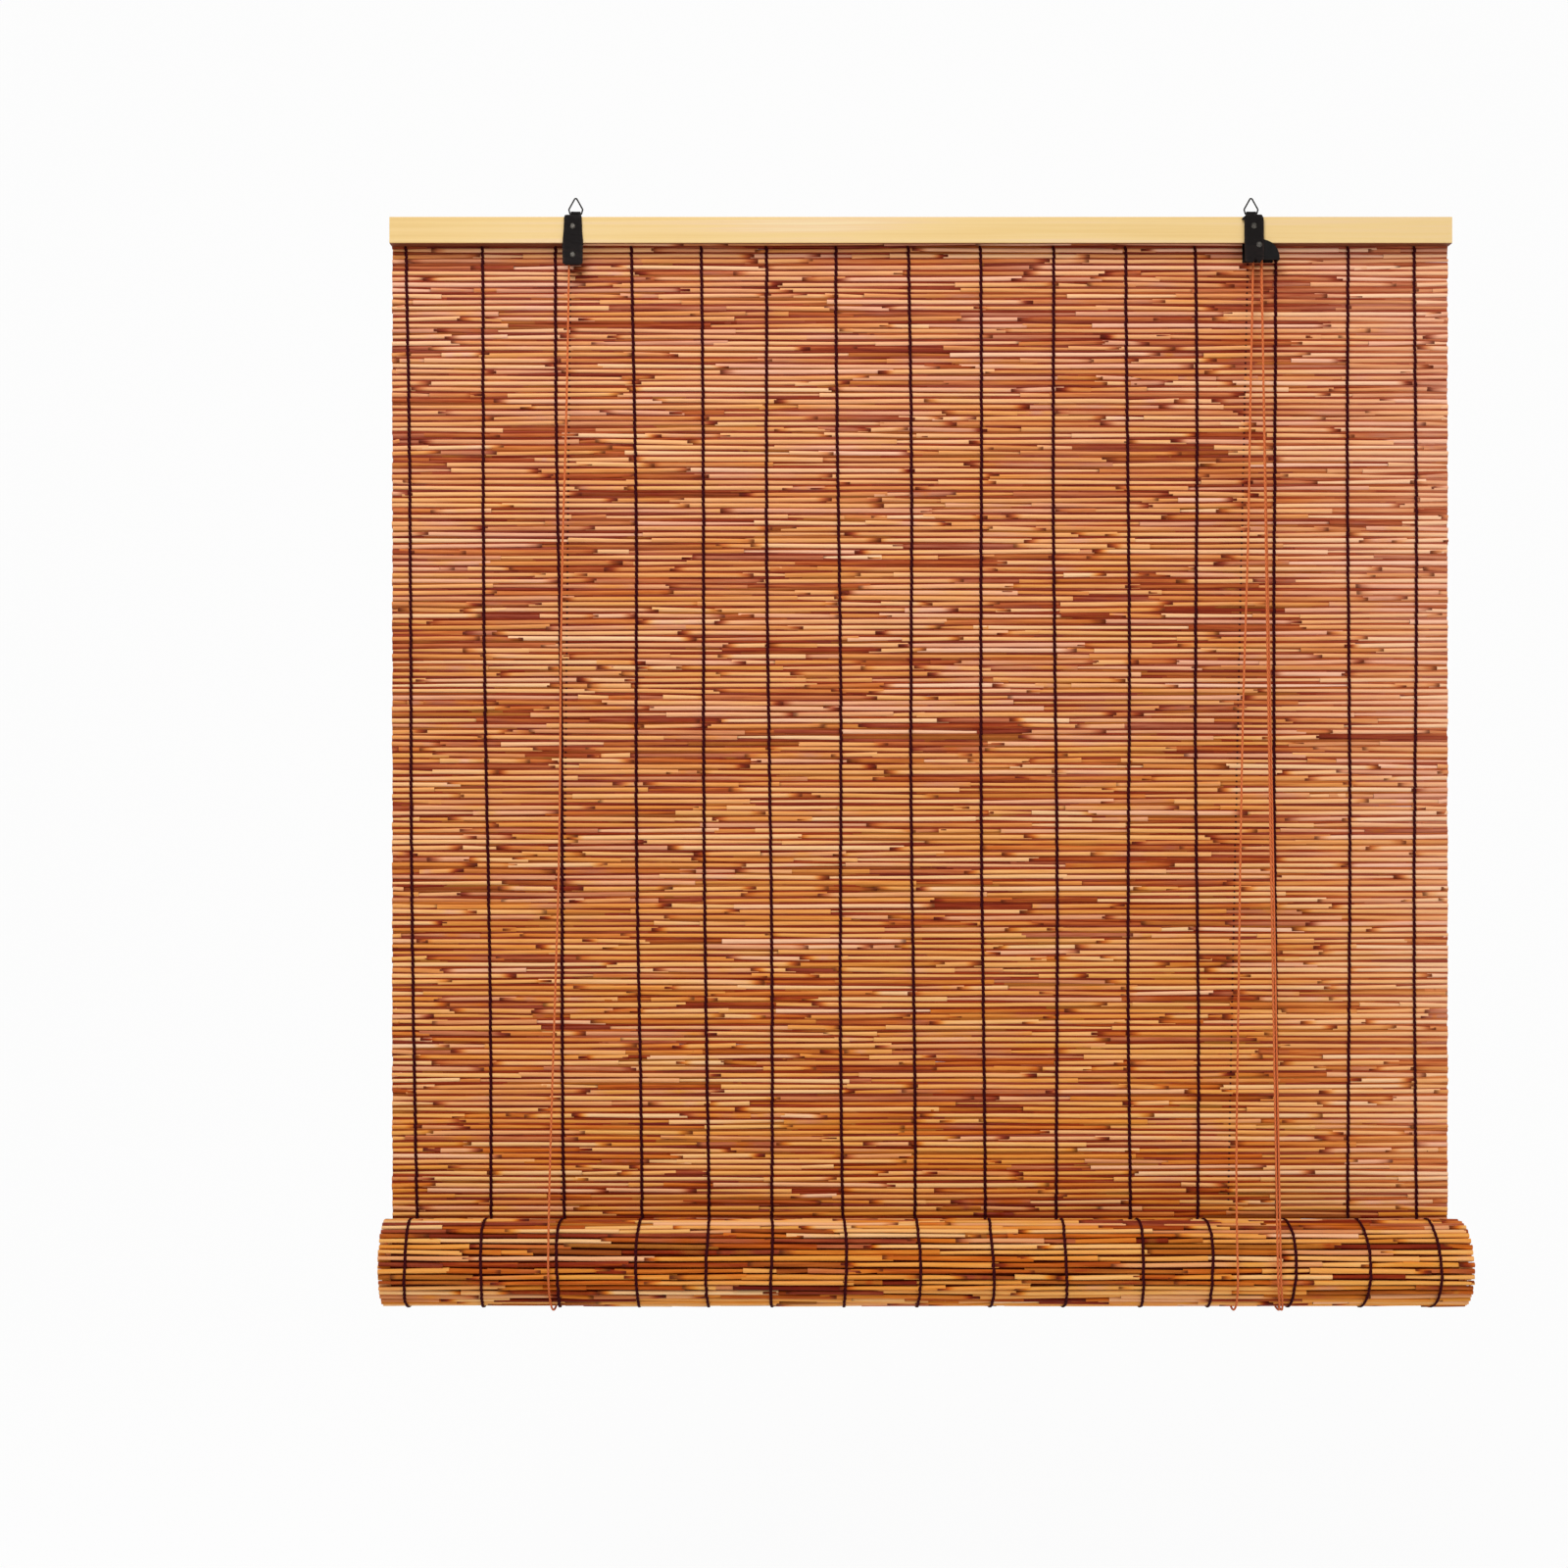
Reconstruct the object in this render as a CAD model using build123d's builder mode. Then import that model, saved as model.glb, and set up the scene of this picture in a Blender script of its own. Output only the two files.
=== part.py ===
from build123d import *
from math import asin, atan2, cos, degrees, floor, hypot, pi, radians, sin
import os

# Reed roller blind, rolled up from its foot to about half its length.
# Sizes are millimetres. +Z is up and the front faces -Y. The origin lies on the line of the two
# wall hooks, where the rings bear on them, straight above the middle of the mat.

# Reed mat
mat_width = 1000.0
mat_thickness = 5.2  # over the crests of the reeds
reed_pitch = 5.5
reed_flat = 2.2  # the flat crest of a reed
web_thickness = 1.0  # where two reeds meet
gap_count = 40
gap_height = 0.9
gap_length_least = 55.0
gap_length_spread = 70.0
gap_side_margin = 12.0

# Head
batten_height = 25.0
batten_depth = 12.0
batten_round = 1.2
strip_height = 25.0
strip_depth = 6.0
strip_round = 0.8
staple_count = 6
staple_width = 11.0  # over its two legs
staple_wire = 1.1
staple_leg = 16.0
staple_end_margin = 30.0  # from the head's ends to the outermost staples
staple_strap_gap = 60.0  # from a strap's middle to the staple beside it

# Roll and the rod it is wound on
roll_drop = 964.6  # from the batten's middle down to the roll's middle
roll_radius = 42.6
rod_radius = 7.0
turn_gap = 0.3
end_groove_width = 0.8
end_groove_depth = 2.0
segments_per_turn = 16

# Warp threads
thread_count = 15
thread_width = 1.7
thread_thickness = 0.55
thread_left_margin = 18.8
thread_right_margin = 31.3
thread_lean = 10.5  # of the leftmost thread, from its top to its foot
thread_shifts = (0, 3.1, 5.3, 9.8, 5.9, -0.7, -1.7, -1.4, -2.9, -1.3, 0, -3.4, 3.0, 4.8, 0)
crevice_height = 18.0  # the wedge between the roll and the hanging mat, left free of threads
roll_thread_sides = 18

# Rings
ring_wire = 1.5
ring_rise = 14.1  # from the wire in the strap up to the hook line
ring_base_width = 10.6
ring_width = 13.2
ring_widest_rise = 4.4
ring_bend = 1.9
ring_base_bend = 1.0
ring_tip_bend = 1.3
left_ring_shift = 1.4  # from its strap's middle
right_ring_shift = 0.6

# Straps
strap_thickness = 1.8
neck_height = 4.2
neck_width = 9.0
back_leg_length = 24.0
strap_hole_gap = 0.1
left_strap_inset = 172.6  # from the head's end to the strap's middle
left_strap_top_width = 16.4
left_strap_foot_width = 19.4
left_leg_length = 45.6  # from the batten's top down to the strap's foot
right_strap_inset = 186.8
right_strap_width = 18.2
right_leg_length = 43.6
strap_corner = 2.0
ear_reach = 2.6
cord_notch_width = 3.6
cord_notch_height = 3.0

# Rivets
rivet_radius = 1.4
rivet_head_radius = 2.9
rivet_head_height = 1.2
rivet_top_radius = 1.9
rivet_tail_radius = 2.4
rivet_tail_height = 0.7
strap_rivet_drop = 9.0  # from the batten's top
left_axle_drop = 35.8
lock_axle_drop = 26.7
lock_axle_shift = 4.8  # from the right strap's middle

# Rollers
cord_radius = 1.05
roller_radius = 5.0
roller_root = 2.6
roller_bore_gap = 0.08
roller_side_gap = 0.35
groove_spacing = 3.9
groove_gap = 0.15  # between a groove's root and the cord
groove_side_gap = 0.6  # between a groove's walls and the cord
lift_plane_back = 5.85  # from the batten's rear to the middle of the roller's grooves

# Cord channel in the batten's back, and the peg that leads the left cord into it
lip_depth = 2.8
channel_height = 6.4
channel_cord_drop = 20.5  # from the batten's top down to the cord
peg_radius = 1.5
peg_shift = 7.8  # from the left strap's middle
peg_seat = 2.0
pocket_gap = 0.6  # round the lock's roller, and beside the plates let into the batten

# Pulley plate and lock housing
plate_thickness = 1.2
plate_width = 13.0
plate_top_drop = 4.0
plate_foot_drop = 42.5
cover_thickness = 1.0
housing_inset = 0.8  # of the housing's plates from the strap's edges
fan_shift = 7.0  # of the fan's centre and the cam's pin, from the right strap's middle
fan_foot_drop = 40.7
fan_radius = 17.2
fan_rise = 1.9  # from the fan's foot up to the centre of its arc
rear_plate_reach = 13.6
cam_pin_shift = 18.0
cam_pin_drop = 34.4
cam_pin_radius = 1.3
cam_radius = 7.9
cam_growth = 1.6  # from the cam's first tooth to its last
cam_teeth = 6
cam_tooth_depth = 0.7
cam_hub_radius = 2.6
cam_first_angle = 152.0
cam_last_angle = 208.0
post_radius = 2.2
post_drop = 34.9

# Cords: where each stretch begins and ends along X, from the middle of the strap on its side
cord_roll_gap = 0.3
left_anchor_shift = -3.1
left_rear_shift = -12.6
left_front_shift = -15.6
right_anchor_shift = -2.2
right_rear_shift = -22.5
right_front_shift = -29.2
anchor_depth = 10.0
anchor_gap = 0.4
cord_end_gap = 0.1
cord_bends = 5
pull_front_shift = 8.4
pull_under_shift = 17.8
pull_spacing = 2.7
pull_bends = 4
pull_leaves_at = 45.0  # degrees below the roll's rear, where the pull cords leave it

# Hank of spare pull cord, its tie, and the knob
hank_width = 36.0
hank_depth = 13.0
hank_height = 52.0
hank_round = 4.5
hank_rear_gap = 2.6
hank_foot_drop = 8.0
hank_lead = 8.0  # the straight end of the pull cords below the hank
hank_bend = 8.0
tie_thickness = 1.3
tie_height = 5.0
tie_gap = 0.1
knob_sides = 8
knob_rings = ((0, 3.2), (7.0, 4.3), (19.0, 6.9), (25.5, 5.4), (29.0, 2.0))  # depth below its top, radius

# Places worked out from the sizes above
left_strap_x = -mat_width / 2 + left_strap_inset
right_strap_x = mat_width / 2 - right_strap_inset
left_ring_x = left_strap_x + left_ring_shift
right_ring_x = right_strap_x + right_ring_shift
lock_axle_x = right_strap_x + lock_axle_shift
peg_x = left_strap_x + peg_shift
fan_centre_x = right_strap_x + fan_shift
cam_pin_x = right_strap_x + cam_pin_shift
left_anchor_x = left_strap_x + left_anchor_shift
left_rear_x = left_strap_x + left_rear_shift
left_front_x = left_strap_x + left_front_shift
right_anchor_x = right_strap_x + right_anchor_shift
right_rear_x = right_strap_x + right_rear_shift
right_front_x = right_strap_x + right_front_shift
pull_front_x = right_strap_x + pull_front_shift
pull_under_x = right_strap_x + pull_under_shift
ring_base_z = -ring_rise
batten_top = ring_base_z - neck_height - strap_thickness
head_z = batten_top - batten_height / 2
batten_foot = batten_top - batten_height
mat_front = -mat_thickness / 2
mat_back = mat_thickness / 2
batten_front = mat_front - batten_depth
strip_back = mat_back + strip_depth
staple_tip = strip_back - staple_leg
roll_z = head_z - roll_drop
roll_y = mat_back - roll_radius
turn_pitch = mat_thickness + turn_gap
reed_groove = (mat_thickness - web_thickness) / 2
mat_foot = roll_z + turn_gap
reed_count = floor((batten_top - mat_foot) / reed_pitch)
mat_top = mat_foot + reed_count * reed_pitch
strap_rivet_z = batten_top - strap_rivet_drop
left_axle_z = batten_top - left_axle_drop
lock_axle_z = batten_top - lock_axle_drop
plate_front = mat_front - plate_thickness
groove_y = mat_front - lift_plane_back
left_groove_y = groove_y - groove_spacing / 2
right_groove_y = groove_y + groove_spacing / 2
turn_radius = roller_root + cord_radius + groove_gap
cord_z = batten_top - channel_cord_drop
peg_z = cord_z - cord_radius - peg_radius
peg_turn = peg_radius + cord_radius
channel_front = batten_front + lip_depth
cord_orbit = roll_radius + cord_radius + cord_roll_gap
pull_x = lock_axle_x + turn_radius
lock_exit_z = batten_top - fan_foot_drop - 1.0
strap_rivet_places = ((left_strap_x, strap_rivet_z), (right_strap_x, strap_rivet_z))

thread_step = (mat_width - thread_left_margin - thread_right_margin) / (thread_count - 1)


def thread_x(index, share):
    """Where a warp thread stands, share 0 at its top and 1 at its foot."""
    first = -mat_width / 2 + thread_left_margin
    lean = thread_lean * (1 - index / (thread_count - 1))
    return first + index * thread_step + thread_shifts[index] + lean * (share - 0.5)


def staple_places():
    """Middles of the staples along the head, as (x, z): one near each end, the rest between straps."""
    first = left_strap_x + staple_strap_gap
    last = right_strap_x - staple_strap_gap
    step = (last - first) / (staple_count - 3)
    between = [first + index * step for index in range(staple_count - 2)]
    end = mat_width / 2 - staple_end_margin
    return [(x, head_z) for x in (-end, *between, end)]


def staple_legs():
    """Middles of the staples' legs, as (x, z)."""
    reach = (staple_width - staple_wire) / 2
    return [(x + side * reach, z) for x, z in staple_places() for side in (-1, 1)]


def bars_along_y(places, radius, y_from, y_to, mode=Mode.ADD):
    """Round bars or holes along Y in the part that is being built, one at each (x, z)."""
    middle = (y_from + y_to) / 2
    with Locations(*[(x, middle, z) for x, z in places]):
        Cylinder(radius, abs(y_to - y_from), rotation=(90, 0, 0), mode=mode)


def staple_leg_bars(y_from, y_to, mode=Mode.ADD):
    """The staples' square legs, or the holes for them, in the part that is being built."""
    middle = (y_from + y_to) / 2
    with Locations(*[(x, middle, z) for x, z in staple_legs()]):
        Box(staple_wire, abs(y_to - y_from), staple_wire, mode=mode)


def save(piece, label):
    """Names a finished piece and writes it."""
    piece.part.label = label
    export_step(piece.part, f"parts/{label}.step")


os.makedirs("parts", exist_ok=True)


# Head batten: a planed pine bar with a cord channel milled in its lower back edge
with BuildPart() as head_batten:
    with Locations((0, batten_front + batten_depth / 2, head_z)):
        Box(mat_width, batten_depth, batten_height)
    fillet(head_batten.edges().filter_by(Axis.X).group_by(Axis.Y)[0], batten_round)
    channel_x = (peg_x - 3 * peg_turn, lock_axle_x + roller_radius)
    channel_span = channel_x[1] - channel_x[0]
    with BuildSketch(Plane.XZ.offset(-channel_front)):
        with Locations(((channel_x[0] + channel_x[1]) / 2, batten_foot + channel_height / 2)):
            Rectangle(channel_span, channel_height)
    extrude(amount=-batten_depth, mode=Mode.SUBTRACT)
    # The plates behind the batten are let into its back, and the lock's roller has a pocket
    plate_places = ((left_strap_x, plate_width), (right_strap_x, right_strap_width - 2 * housing_inset))
    for place_x, width in plate_places:
        with Locations((place_x, mat_front - plate_thickness / 2, head_z)):
            Box(width + pocket_gap, plate_thickness, batten_height, mode=Mode.SUBTRACT)
    with Locations((lock_axle_x, batten_front, batten_foot)):
        Box(
            2 * (roller_radius + pocket_gap),
            4 * lip_depth,
            2 * (lock_axle_z + roller_radius + pocket_gap - batten_foot),
            mode=Mode.SUBTRACT,
        )
    bars_along_y(strap_rivet_places, rivet_radius, batten_front - 1, mat_front + 1, Mode.SUBTRACT)
    bars_along_y(
        ((peg_x, peg_z),), peg_radius, channel_front - peg_seat, plate_front, Mode.SUBTRACT
    )
    staple_leg_bars(staple_tip, mat_front + 1, Mode.SUBTRACT)
save(head_batten, "head_batten")

# Backing strip, which clamps the top of the mat against the batten
with BuildPart() as backing_strip:
    with Locations((0, mat_back + strip_depth / 2, batten_top - strip_height / 2)):
        Box(mat_width, strip_depth, strip_height)
    fillet(backing_strip.edges().filter_by(Axis.X).group_by(Axis.Y)[-1], strip_round)
    bars_along_y(strap_rivet_places, rivet_radius, mat_back, strip_back, Mode.SUBTRACT)
    staple_leg_bars(mat_back, strip_back, Mode.SUBTRACT)
    anchors = [(left_anchor_x, mat_back + strip_depth / 2), (right_anchor_x, mat_back + strip_depth / 2)]
    with BuildSketch(Plane.XY.offset(batten_top - strip_height)):
        with Locations(*anchors):
            Circle(cord_radius + anchor_gap)
    extrude(amount=anchor_depth, mode=Mode.SUBTRACT)
save(backing_strip, "backing_strip")

# Staples through the strip and the mat into the batten
with BuildPart() as strip_staples:
    staple_leg_bars(staple_tip, strip_back)
    with Locations(*[(x, strip_back + staple_wire / 2, z) for x, z in staple_places()]):
        Box(staple_width, staple_wire, staple_wire)
save(strip_staples, "strip_staples")


def reed_row(crest, valley, start, step):
    """One reed's three points along a face of the mat: its valley and the ends of its crest."""
    slope = (step - reed_flat * step / reed_pitch) / 2
    return [(valley, start), (crest, start + slope), (crest, start + step - slope)]


# Hanging reed mat: one wall whose two faces are rows of reeds, pierced by gaps between reeds
with BuildPart() as reed_mat:
    front_points = []
    for row in range(reed_count):
        low = mat_foot + row * reed_pitch
        front_points += reed_row(mat_front, -web_thickness / 2, low, reed_pitch)
    front_points.append((-web_thickness / 2, mat_top))
    back_points = [(-y, z) for y, z in reversed(front_points)]
    with BuildSketch(Plane.YZ.offset(-mat_width / 2)):
        with BuildLine():
            Polyline(*front_points, *back_points, close=True)
        make_face()
    extrude(amount=mat_width)
    free_rows = floor((batten_foot - mat_foot) / reed_pitch) - 4
    gap_spots = []
    for index in range(gap_count):
        row = 4 + floor(free_rows * index / gap_count)
        length = gap_length_least + gap_length_spread * ((index * 0.381966) % 1)
        room = mat_width - 2 * gap_side_margin - length
        across = (((index + 1) * 0.618034) % 1 - 0.5) * room
        gap_spots.append((across, mat_foot + row * reed_pitch, length))
    with BuildSketch(Plane.XZ):
        for across, height, length in gap_spots:
            with Locations((across, height)):
                Rectangle(length, gap_height)
        with Locations(*strap_rivet_places):
            Circle(rivet_radius)
        with Locations(*staple_legs()):
            Rectangle(staple_wire, staple_wire)
    extrude(amount=mat_thickness, both=True, mode=Mode.SUBTRACT)
save(reed_mat, "reed_mat")


# Warp threads of the hanging mat, in front of it and behind it, as flat strands on the crests
with BuildPart() as warp_threads:
    for index in range(thread_count):
        top_x = thread_x(index, 0)
        foot_x = thread_x(index, 1)
        for face_y, foot in ((mat_front, mat_foot + crevice_height), (mat_back, mat_foot + turn_gap)):
            outward = 1 if face_y > 0 else -1
            half = thread_width / 2
            with BuildSketch(Plane.XZ.offset(-face_y)):
                with BuildLine():
                    Polyline(
                        (top_x - half, batten_foot - turn_gap),
                        (top_x + half, batten_foot - turn_gap),
                        (foot_x + half, foot),
                        (foot_x - half, foot),
                        close=True,
                    )
                make_face()
            extrude(amount=-outward * thread_thickness)
save(warp_threads, "warp_threads")


def on_roll(angle, radius):
    """A point in the roll's section. Angle 0 is at its rear, where the hanging mat ends."""
    return (roll_y + radius * cos(angle), roll_z - radius * sin(angle))


def turn_crest(angle):
    """How far the crests of the roll's winding lie from its middle."""
    return roll_radius - turn_pitch * angle / (2 * pi)


# Rolled reed mat: every turn of the winding in one solid, with the turns' edges cut in at both ends
with BuildPart() as reed_roll:
    outer_reeds = round(2 * pi * (roll_radius - turn_pitch) / reed_pitch)
    reed_turn = 2 * pi / outer_reeds
    skin = []
    for index in range(outer_reeds):
        for depth, angle in reed_row(0, reed_groove, index * reed_turn, reed_turn):
            skin.append(on_roll(angle, turn_crest(angle) - depth))
    skin.append(on_roll(2 * pi, turn_crest(2 * pi) - reed_groove))
    with BuildSketch(Plane.YZ.offset(-mat_width / 2)):
        with BuildLine():
            Polyline(*skin, close=True)
        make_face()
    extrude(amount=mat_width)
    turns = (roll_radius - mat_thickness * 1.5 - rod_radius) / turn_pitch
    steps = floor(turns * segments_per_turn)
    inner_edge = []
    outer_edge = []
    for index in range(steps + 1):
        angle = 2 * pi * index / segments_per_turn
        edge = turn_crest(angle) - mat_thickness
        outer_edge.append(on_roll(angle, edge))
        inner_edge.append(on_roll(angle, edge - end_groove_width))
    for end in (-1, 1):
        with BuildSketch(Plane.YZ.offset(end * mat_width / 2)):
            with BuildLine():
                Polyline(*outer_edge, *reversed(inner_edge), close=True)
            make_face()
        extrude(amount=-end * end_groove_depth, mode=Mode.SUBTRACT)
    with Locations((0, roll_y, roll_z)):
        Cylinder(rod_radius, mat_width, rotation=(0, 90, 0), mode=Mode.SUBTRACT)
save(reed_roll, "reed_roll")

# Warp threads round the roll's outer turn
with BuildPart() as roll_threads:
    first_side = 2 * pi / roll_thread_sides
    inner_band = []
    outer_band = []
    for index in range(roll_thread_sides):
        angle = first_side * (index + 0.04)
        reach = (turn_crest(angle) + 0.05) / cos(first_side / 2)
        inner_band.append(on_roll(angle, reach))
        outer_band.append(on_roll(angle, reach + thread_thickness))
    for index in range(thread_count):
        with BuildSketch(Plane.YZ.offset(thread_x(index, 1) - thread_width / 2)):
            with BuildLine():
                Polyline(*outer_band, *reversed(inner_band), close=True)
            make_face()
        extrude(amount=thread_width)
save(roll_threads, "roll_threads")

# Rod at the foot of the mat, in the middle of the roll
with BuildPart() as foot_rod:
    with Locations((0, roll_y, roll_z)):
        Cylinder(rod_radius, mat_width, rotation=(0, 90, 0))
    chamfer(foot_rod.edges().filter_by(GeomType.CIRCLE), 0.6)
save(foot_rod, "foot_rod")


def folded_strap(outline, under, back_leg, holes, notches=()):
    """A leather strap folded over the head, with its two layers pressed together at the neck.

    outline is its front view as (x, z) points, and under is what lies between it and the batten.
    holes are for rivets, and notches in the foot are for cords.
    """
    leg_back = batten_front - under
    leg_front = leg_back - strap_thickness
    rear = strip_back + strap_thickness
    lowest = min(z for _, z in outline)
    loop_radius = ring_wire / 2 + strap_hole_gap
    with BuildPart() as strap:
        with BuildSketch(Plane.YZ):
            with BuildLine():
                Polyline(
                    (leg_front, lowest),
                    (leg_front, batten_top + strap_thickness),
                    (rear, batten_top + strap_thickness),
                    (rear, batten_top - back_leg),
                    (strip_back, batten_top - back_leg),
                    (strip_back, batten_top),
                    (leg_back, batten_top),
                    (leg_back, lowest),
                    close=True,
                )
            make_face()
            shoulders = [v for v in vertices() if v.Y > batten_top + strap_thickness - 0.01]
            fillet(shoulders, strap_thickness * 0.9)
            with Locations((0, batten_top + strap_thickness + neck_height / 2)):
                Rectangle(2 * strap_thickness, neck_height + strap_thickness)
            with Locations((0, ring_base_z)):
                Circle(loop_radius + strap_thickness)
                Circle(loop_radius, mode=Mode.SUBTRACT)
        extrude(amount=mat_width / 2, both=True)
        with BuildSketch(Plane.XZ):
            with BuildLine():
                Polyline(*outline, close=True)
            make_face()
            feet = [v for v in vertices() if v.Y < lowest + 0.01]
            fillet(feet, strap_corner)
            for notch_x in notches:
                with Locations((notch_x, lowest)):
                    Rectangle(cord_notch_width, 2 * cord_notch_height, mode=Mode.SUBTRACT)
        extrude(amount=strip_back + strap_thickness - leg_front, both=True, mode=Mode.INTERSECT)
        bars_along_y(holes, rivet_radius, leg_front - 1, rear + 1, Mode.SUBTRACT)
    return strap


def strap_outline(x, top_width, foot_width, leg_length, neck_x):
    """The front view of a strap, from its foot round to its foot again."""
    shoulder = batten_top + strap_thickness * 0.4
    loop_top = ring_base_z + ring_wire + 2 * strap_thickness
    foot = batten_top - leg_length
    half_top = top_width / 2
    half_foot = foot_width / 2
    half_neck = neck_width / 2
    return [
        (x - half_foot, foot),
        (x - half_foot, batten_foot),
        (x - half_top, shoulder),
        (neck_x - half_neck, shoulder + strap_thickness),
        (neck_x - half_neck, loop_top),
        (neck_x + half_neck, loop_top),
        (neck_x + half_neck, shoulder + strap_thickness),
        (x + half_top, shoulder),
        (x + half_foot, batten_foot),
        (x + half_foot, foot),
    ]


# Left strap
left_axle_place = (left_strap_x, left_axle_z)
left_outline = strap_outline(
    left_strap_x, left_strap_top_width, left_strap_foot_width, left_leg_length, left_ring_x
)
left_holes = ((left_strap_x, strap_rivet_z), left_axle_place)
left_strap = folded_strap(left_outline, 0, back_leg_length, left_holes)
save(left_strap, "left_strap")

# Right strap: its shoulder has a splayed ear, and its foot is notched for the cords
lock_axle_place = (lock_axle_x, lock_axle_z)
right_outline = strap_outline(
    right_strap_x, right_strap_width, right_strap_width, right_leg_length, right_ring_x
)
ear_z = batten_top - 1.4
right_outline[2] = (right_strap_x - right_strap_width / 2 - ear_reach, ear_z)
right_outline.insert(2, (right_strap_x - right_strap_width / 2, ear_z - 1))
right_holes = ((right_strap_x, strap_rivet_z), lock_axle_place)
right_notches = (lock_axle_x - turn_radius, pull_x)
right_strap = folded_strap(
    right_outline, cover_thickness, back_leg_length, right_holes, right_notches
)
save(right_strap, "right_strap")


def hanging_ring(x):
    """A wire ring bent to a tall triangle, standing up from the strap to its hook."""
    half_base = ring_base_width / 2
    half_width = ring_width / 2
    widest_z = ring_base_z + ring_widest_rise
    bend_z = ring_wire / 2 - ring_tip_bend  # the middle of the bend that hangs on the hook
    reach = hypot(half_width, bend_z - widest_z)
    lean = atan2(half_width, bend_z - widest_z) - asin(ring_tip_bend / reach)
    tip_z = widest_z + half_width * cos(lean) / sin(lean)
    corners = [
        (x - half_base, 0, ring_base_z),
        (x - half_width, 0, widest_z),
        (x, 0, tip_z),
        (x + half_width, 0, widest_z),
        (x + half_base, 0, ring_base_z),
    ]
    bends = [ring_base_bend, ring_bend, ring_tip_bend, ring_bend, ring_base_bend]
    with BuildPart() as ring:
        with BuildLine() as bend:
            FilletPolyline(*corners, radius=bends, close=True)
        wire = bend.wire()
        with BuildSketch(Plane(origin=wire @ 0, z_dir=wire % 0)):
            RegularPolygon(ring_wire / 2, 6)
        sweep(path=wire)
    return ring


# Rings
left_ring = hanging_ring(left_ring_x)
save(left_ring, "left_ring")
right_ring = hanging_ring(right_ring_x)
save(right_ring, "right_ring")


def rivet(places, faces, ends, tails):
    """Rivets along Y with a coned head in front, one at each (x, z). tails says which get a tail."""
    with BuildPart() as part:
        for (x, z), face_y, end_y, tail in zip(places, faces, ends, tails):
            top_y = face_y - rivet_head_height
            with BuildSketch(Plane((0, 0, z))):
                with BuildLine():
                    Polyline(
                        (x, end_y),
                        (x, top_y),
                        (x + rivet_top_radius, top_y),
                        (x + rivet_head_radius, face_y),
                        (x + rivet_radius, face_y),
                        (x + rivet_radius, end_y),
                        close=True,
                    )
                make_face()
            revolve(axis=Axis((x, 0, z), (0, 1, 0)))
            if tail:
                bars_along_y(((x, z),), rivet_tail_radius, end_y, end_y + rivet_tail_height)
    return part


# Rivets that fasten the straps through the whole head
rivet_back = strip_back + strap_thickness
left_face = batten_front - strap_thickness
right_face = left_face - cover_thickness
strap_rivets = rivet(strap_rivet_places, (left_face, right_face), (rivet_back, rivet_back), (1, 1))
save(strap_rivets, "strap_rivets")

# Axles of the two rollers
left_axle = rivet((left_axle_place,), (left_face,), (mat_front,), (0,))
save(left_axle, "left_axle")
lock_axle = rivet((lock_axle_place,), (right_face,), (mat_front,), (0,))
save(lock_axle, "lock_axle")


def roller(place, front, grooves):
    """A grooved roller on an axle along Y. grooves are the y places of its grooves."""
    x, z = place
    y_from = front + roller_side_gap
    y_to = plate_front - roller_side_gap
    half_width = cord_radius + groove_side_gap
    with BuildPart() as part:
        with Locations((x, (y_from + y_to) / 2, z)):
            Cylinder(roller_radius, y_to - y_from, rotation=(90, 0, 0))
        for groove in grooves:
            with BuildSketch(Plane((0, 0, z))):
                with BuildLine():
                    Polyline(
                        (x + roller_radius, groove - half_width),
                        (x + roller_radius, groove + half_width),
                        (x + roller_root, groove + half_width),
                        (x + roller_root, groove - half_width),
                        close=True,
                    )
                make_face()
            revolve(axis=Axis((x, 0, z), (0, 1, 0)), mode=Mode.SUBTRACT)
        bars_along_y(((x, z),), rivet_radius + roller_bore_gap, y_from, y_to, Mode.SUBTRACT)
    return part


# Rollers: one groove under the left strap, two in the lock
left_roller = roller(left_axle_place, batten_front, (left_groove_y,))
save(left_roller, "left_roller")
lock_roller = roller(lock_axle_place, batten_front, (left_groove_y, right_groove_y))
save(lock_roller, "lock_roller")

# Peg in the batten that leads the left cord into the channel
with BuildPart() as cord_peg:
    bars_along_y(((peg_x, peg_z),), peg_radius, channel_front - peg_seat, plate_front)
save(cord_peg, "cord_peg")

# Plate behind the batten that carries the back end of the left axle
with BuildPart() as pulley_plate:
    with BuildSketch(Plane.XZ.offset(-mat_front)):
        plate_top = batten_top - plate_top_drop
        plate_foot = batten_top - plate_foot_drop
        with Locations((left_strap_x, (plate_top + plate_foot) / 2)):
            RectangleRounded(plate_width, plate_top - plate_foot, 3)
        with Locations((left_strap_x, strap_rivet_z), left_axle_place):
            Circle(rivet_radius, mode=Mode.SUBTRACT)
    extrude(amount=plate_thickness)
save(pulley_plate, "pulley_plate")

# Lock housing: pressed steel, with a fan-shaped front cover, a rear plate and a curved side wall
fan_foot = batten_top - fan_foot_drop
fan_centre = (fan_centre_x, fan_foot + fan_rise)
fan_right = fan_centre_x + fan_radius
cover_left = right_strap_x - right_strap_width / 2 + housing_inset
strap_edge = right_strap_x + right_strap_width / 2 - housing_inset
rear_right = lock_axle_x + rear_plate_reach + 2
rim_top = batten_foot - turn_gap
cam_place = (cam_pin_x, batten_top - cam_pin_drop)
post_place = (lock_axle_x, batten_top - post_drop)
fan_meet = fan_centre[1] + (fan_radius**2 - (strap_edge - fan_centre_x) ** 2) ** 0.5
fan_angle = radians(40)
fan_middle = (
    fan_centre_x + fan_radius * cos(fan_angle),
    fan_centre[1] + fan_radius * sin(fan_angle),
)
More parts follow.
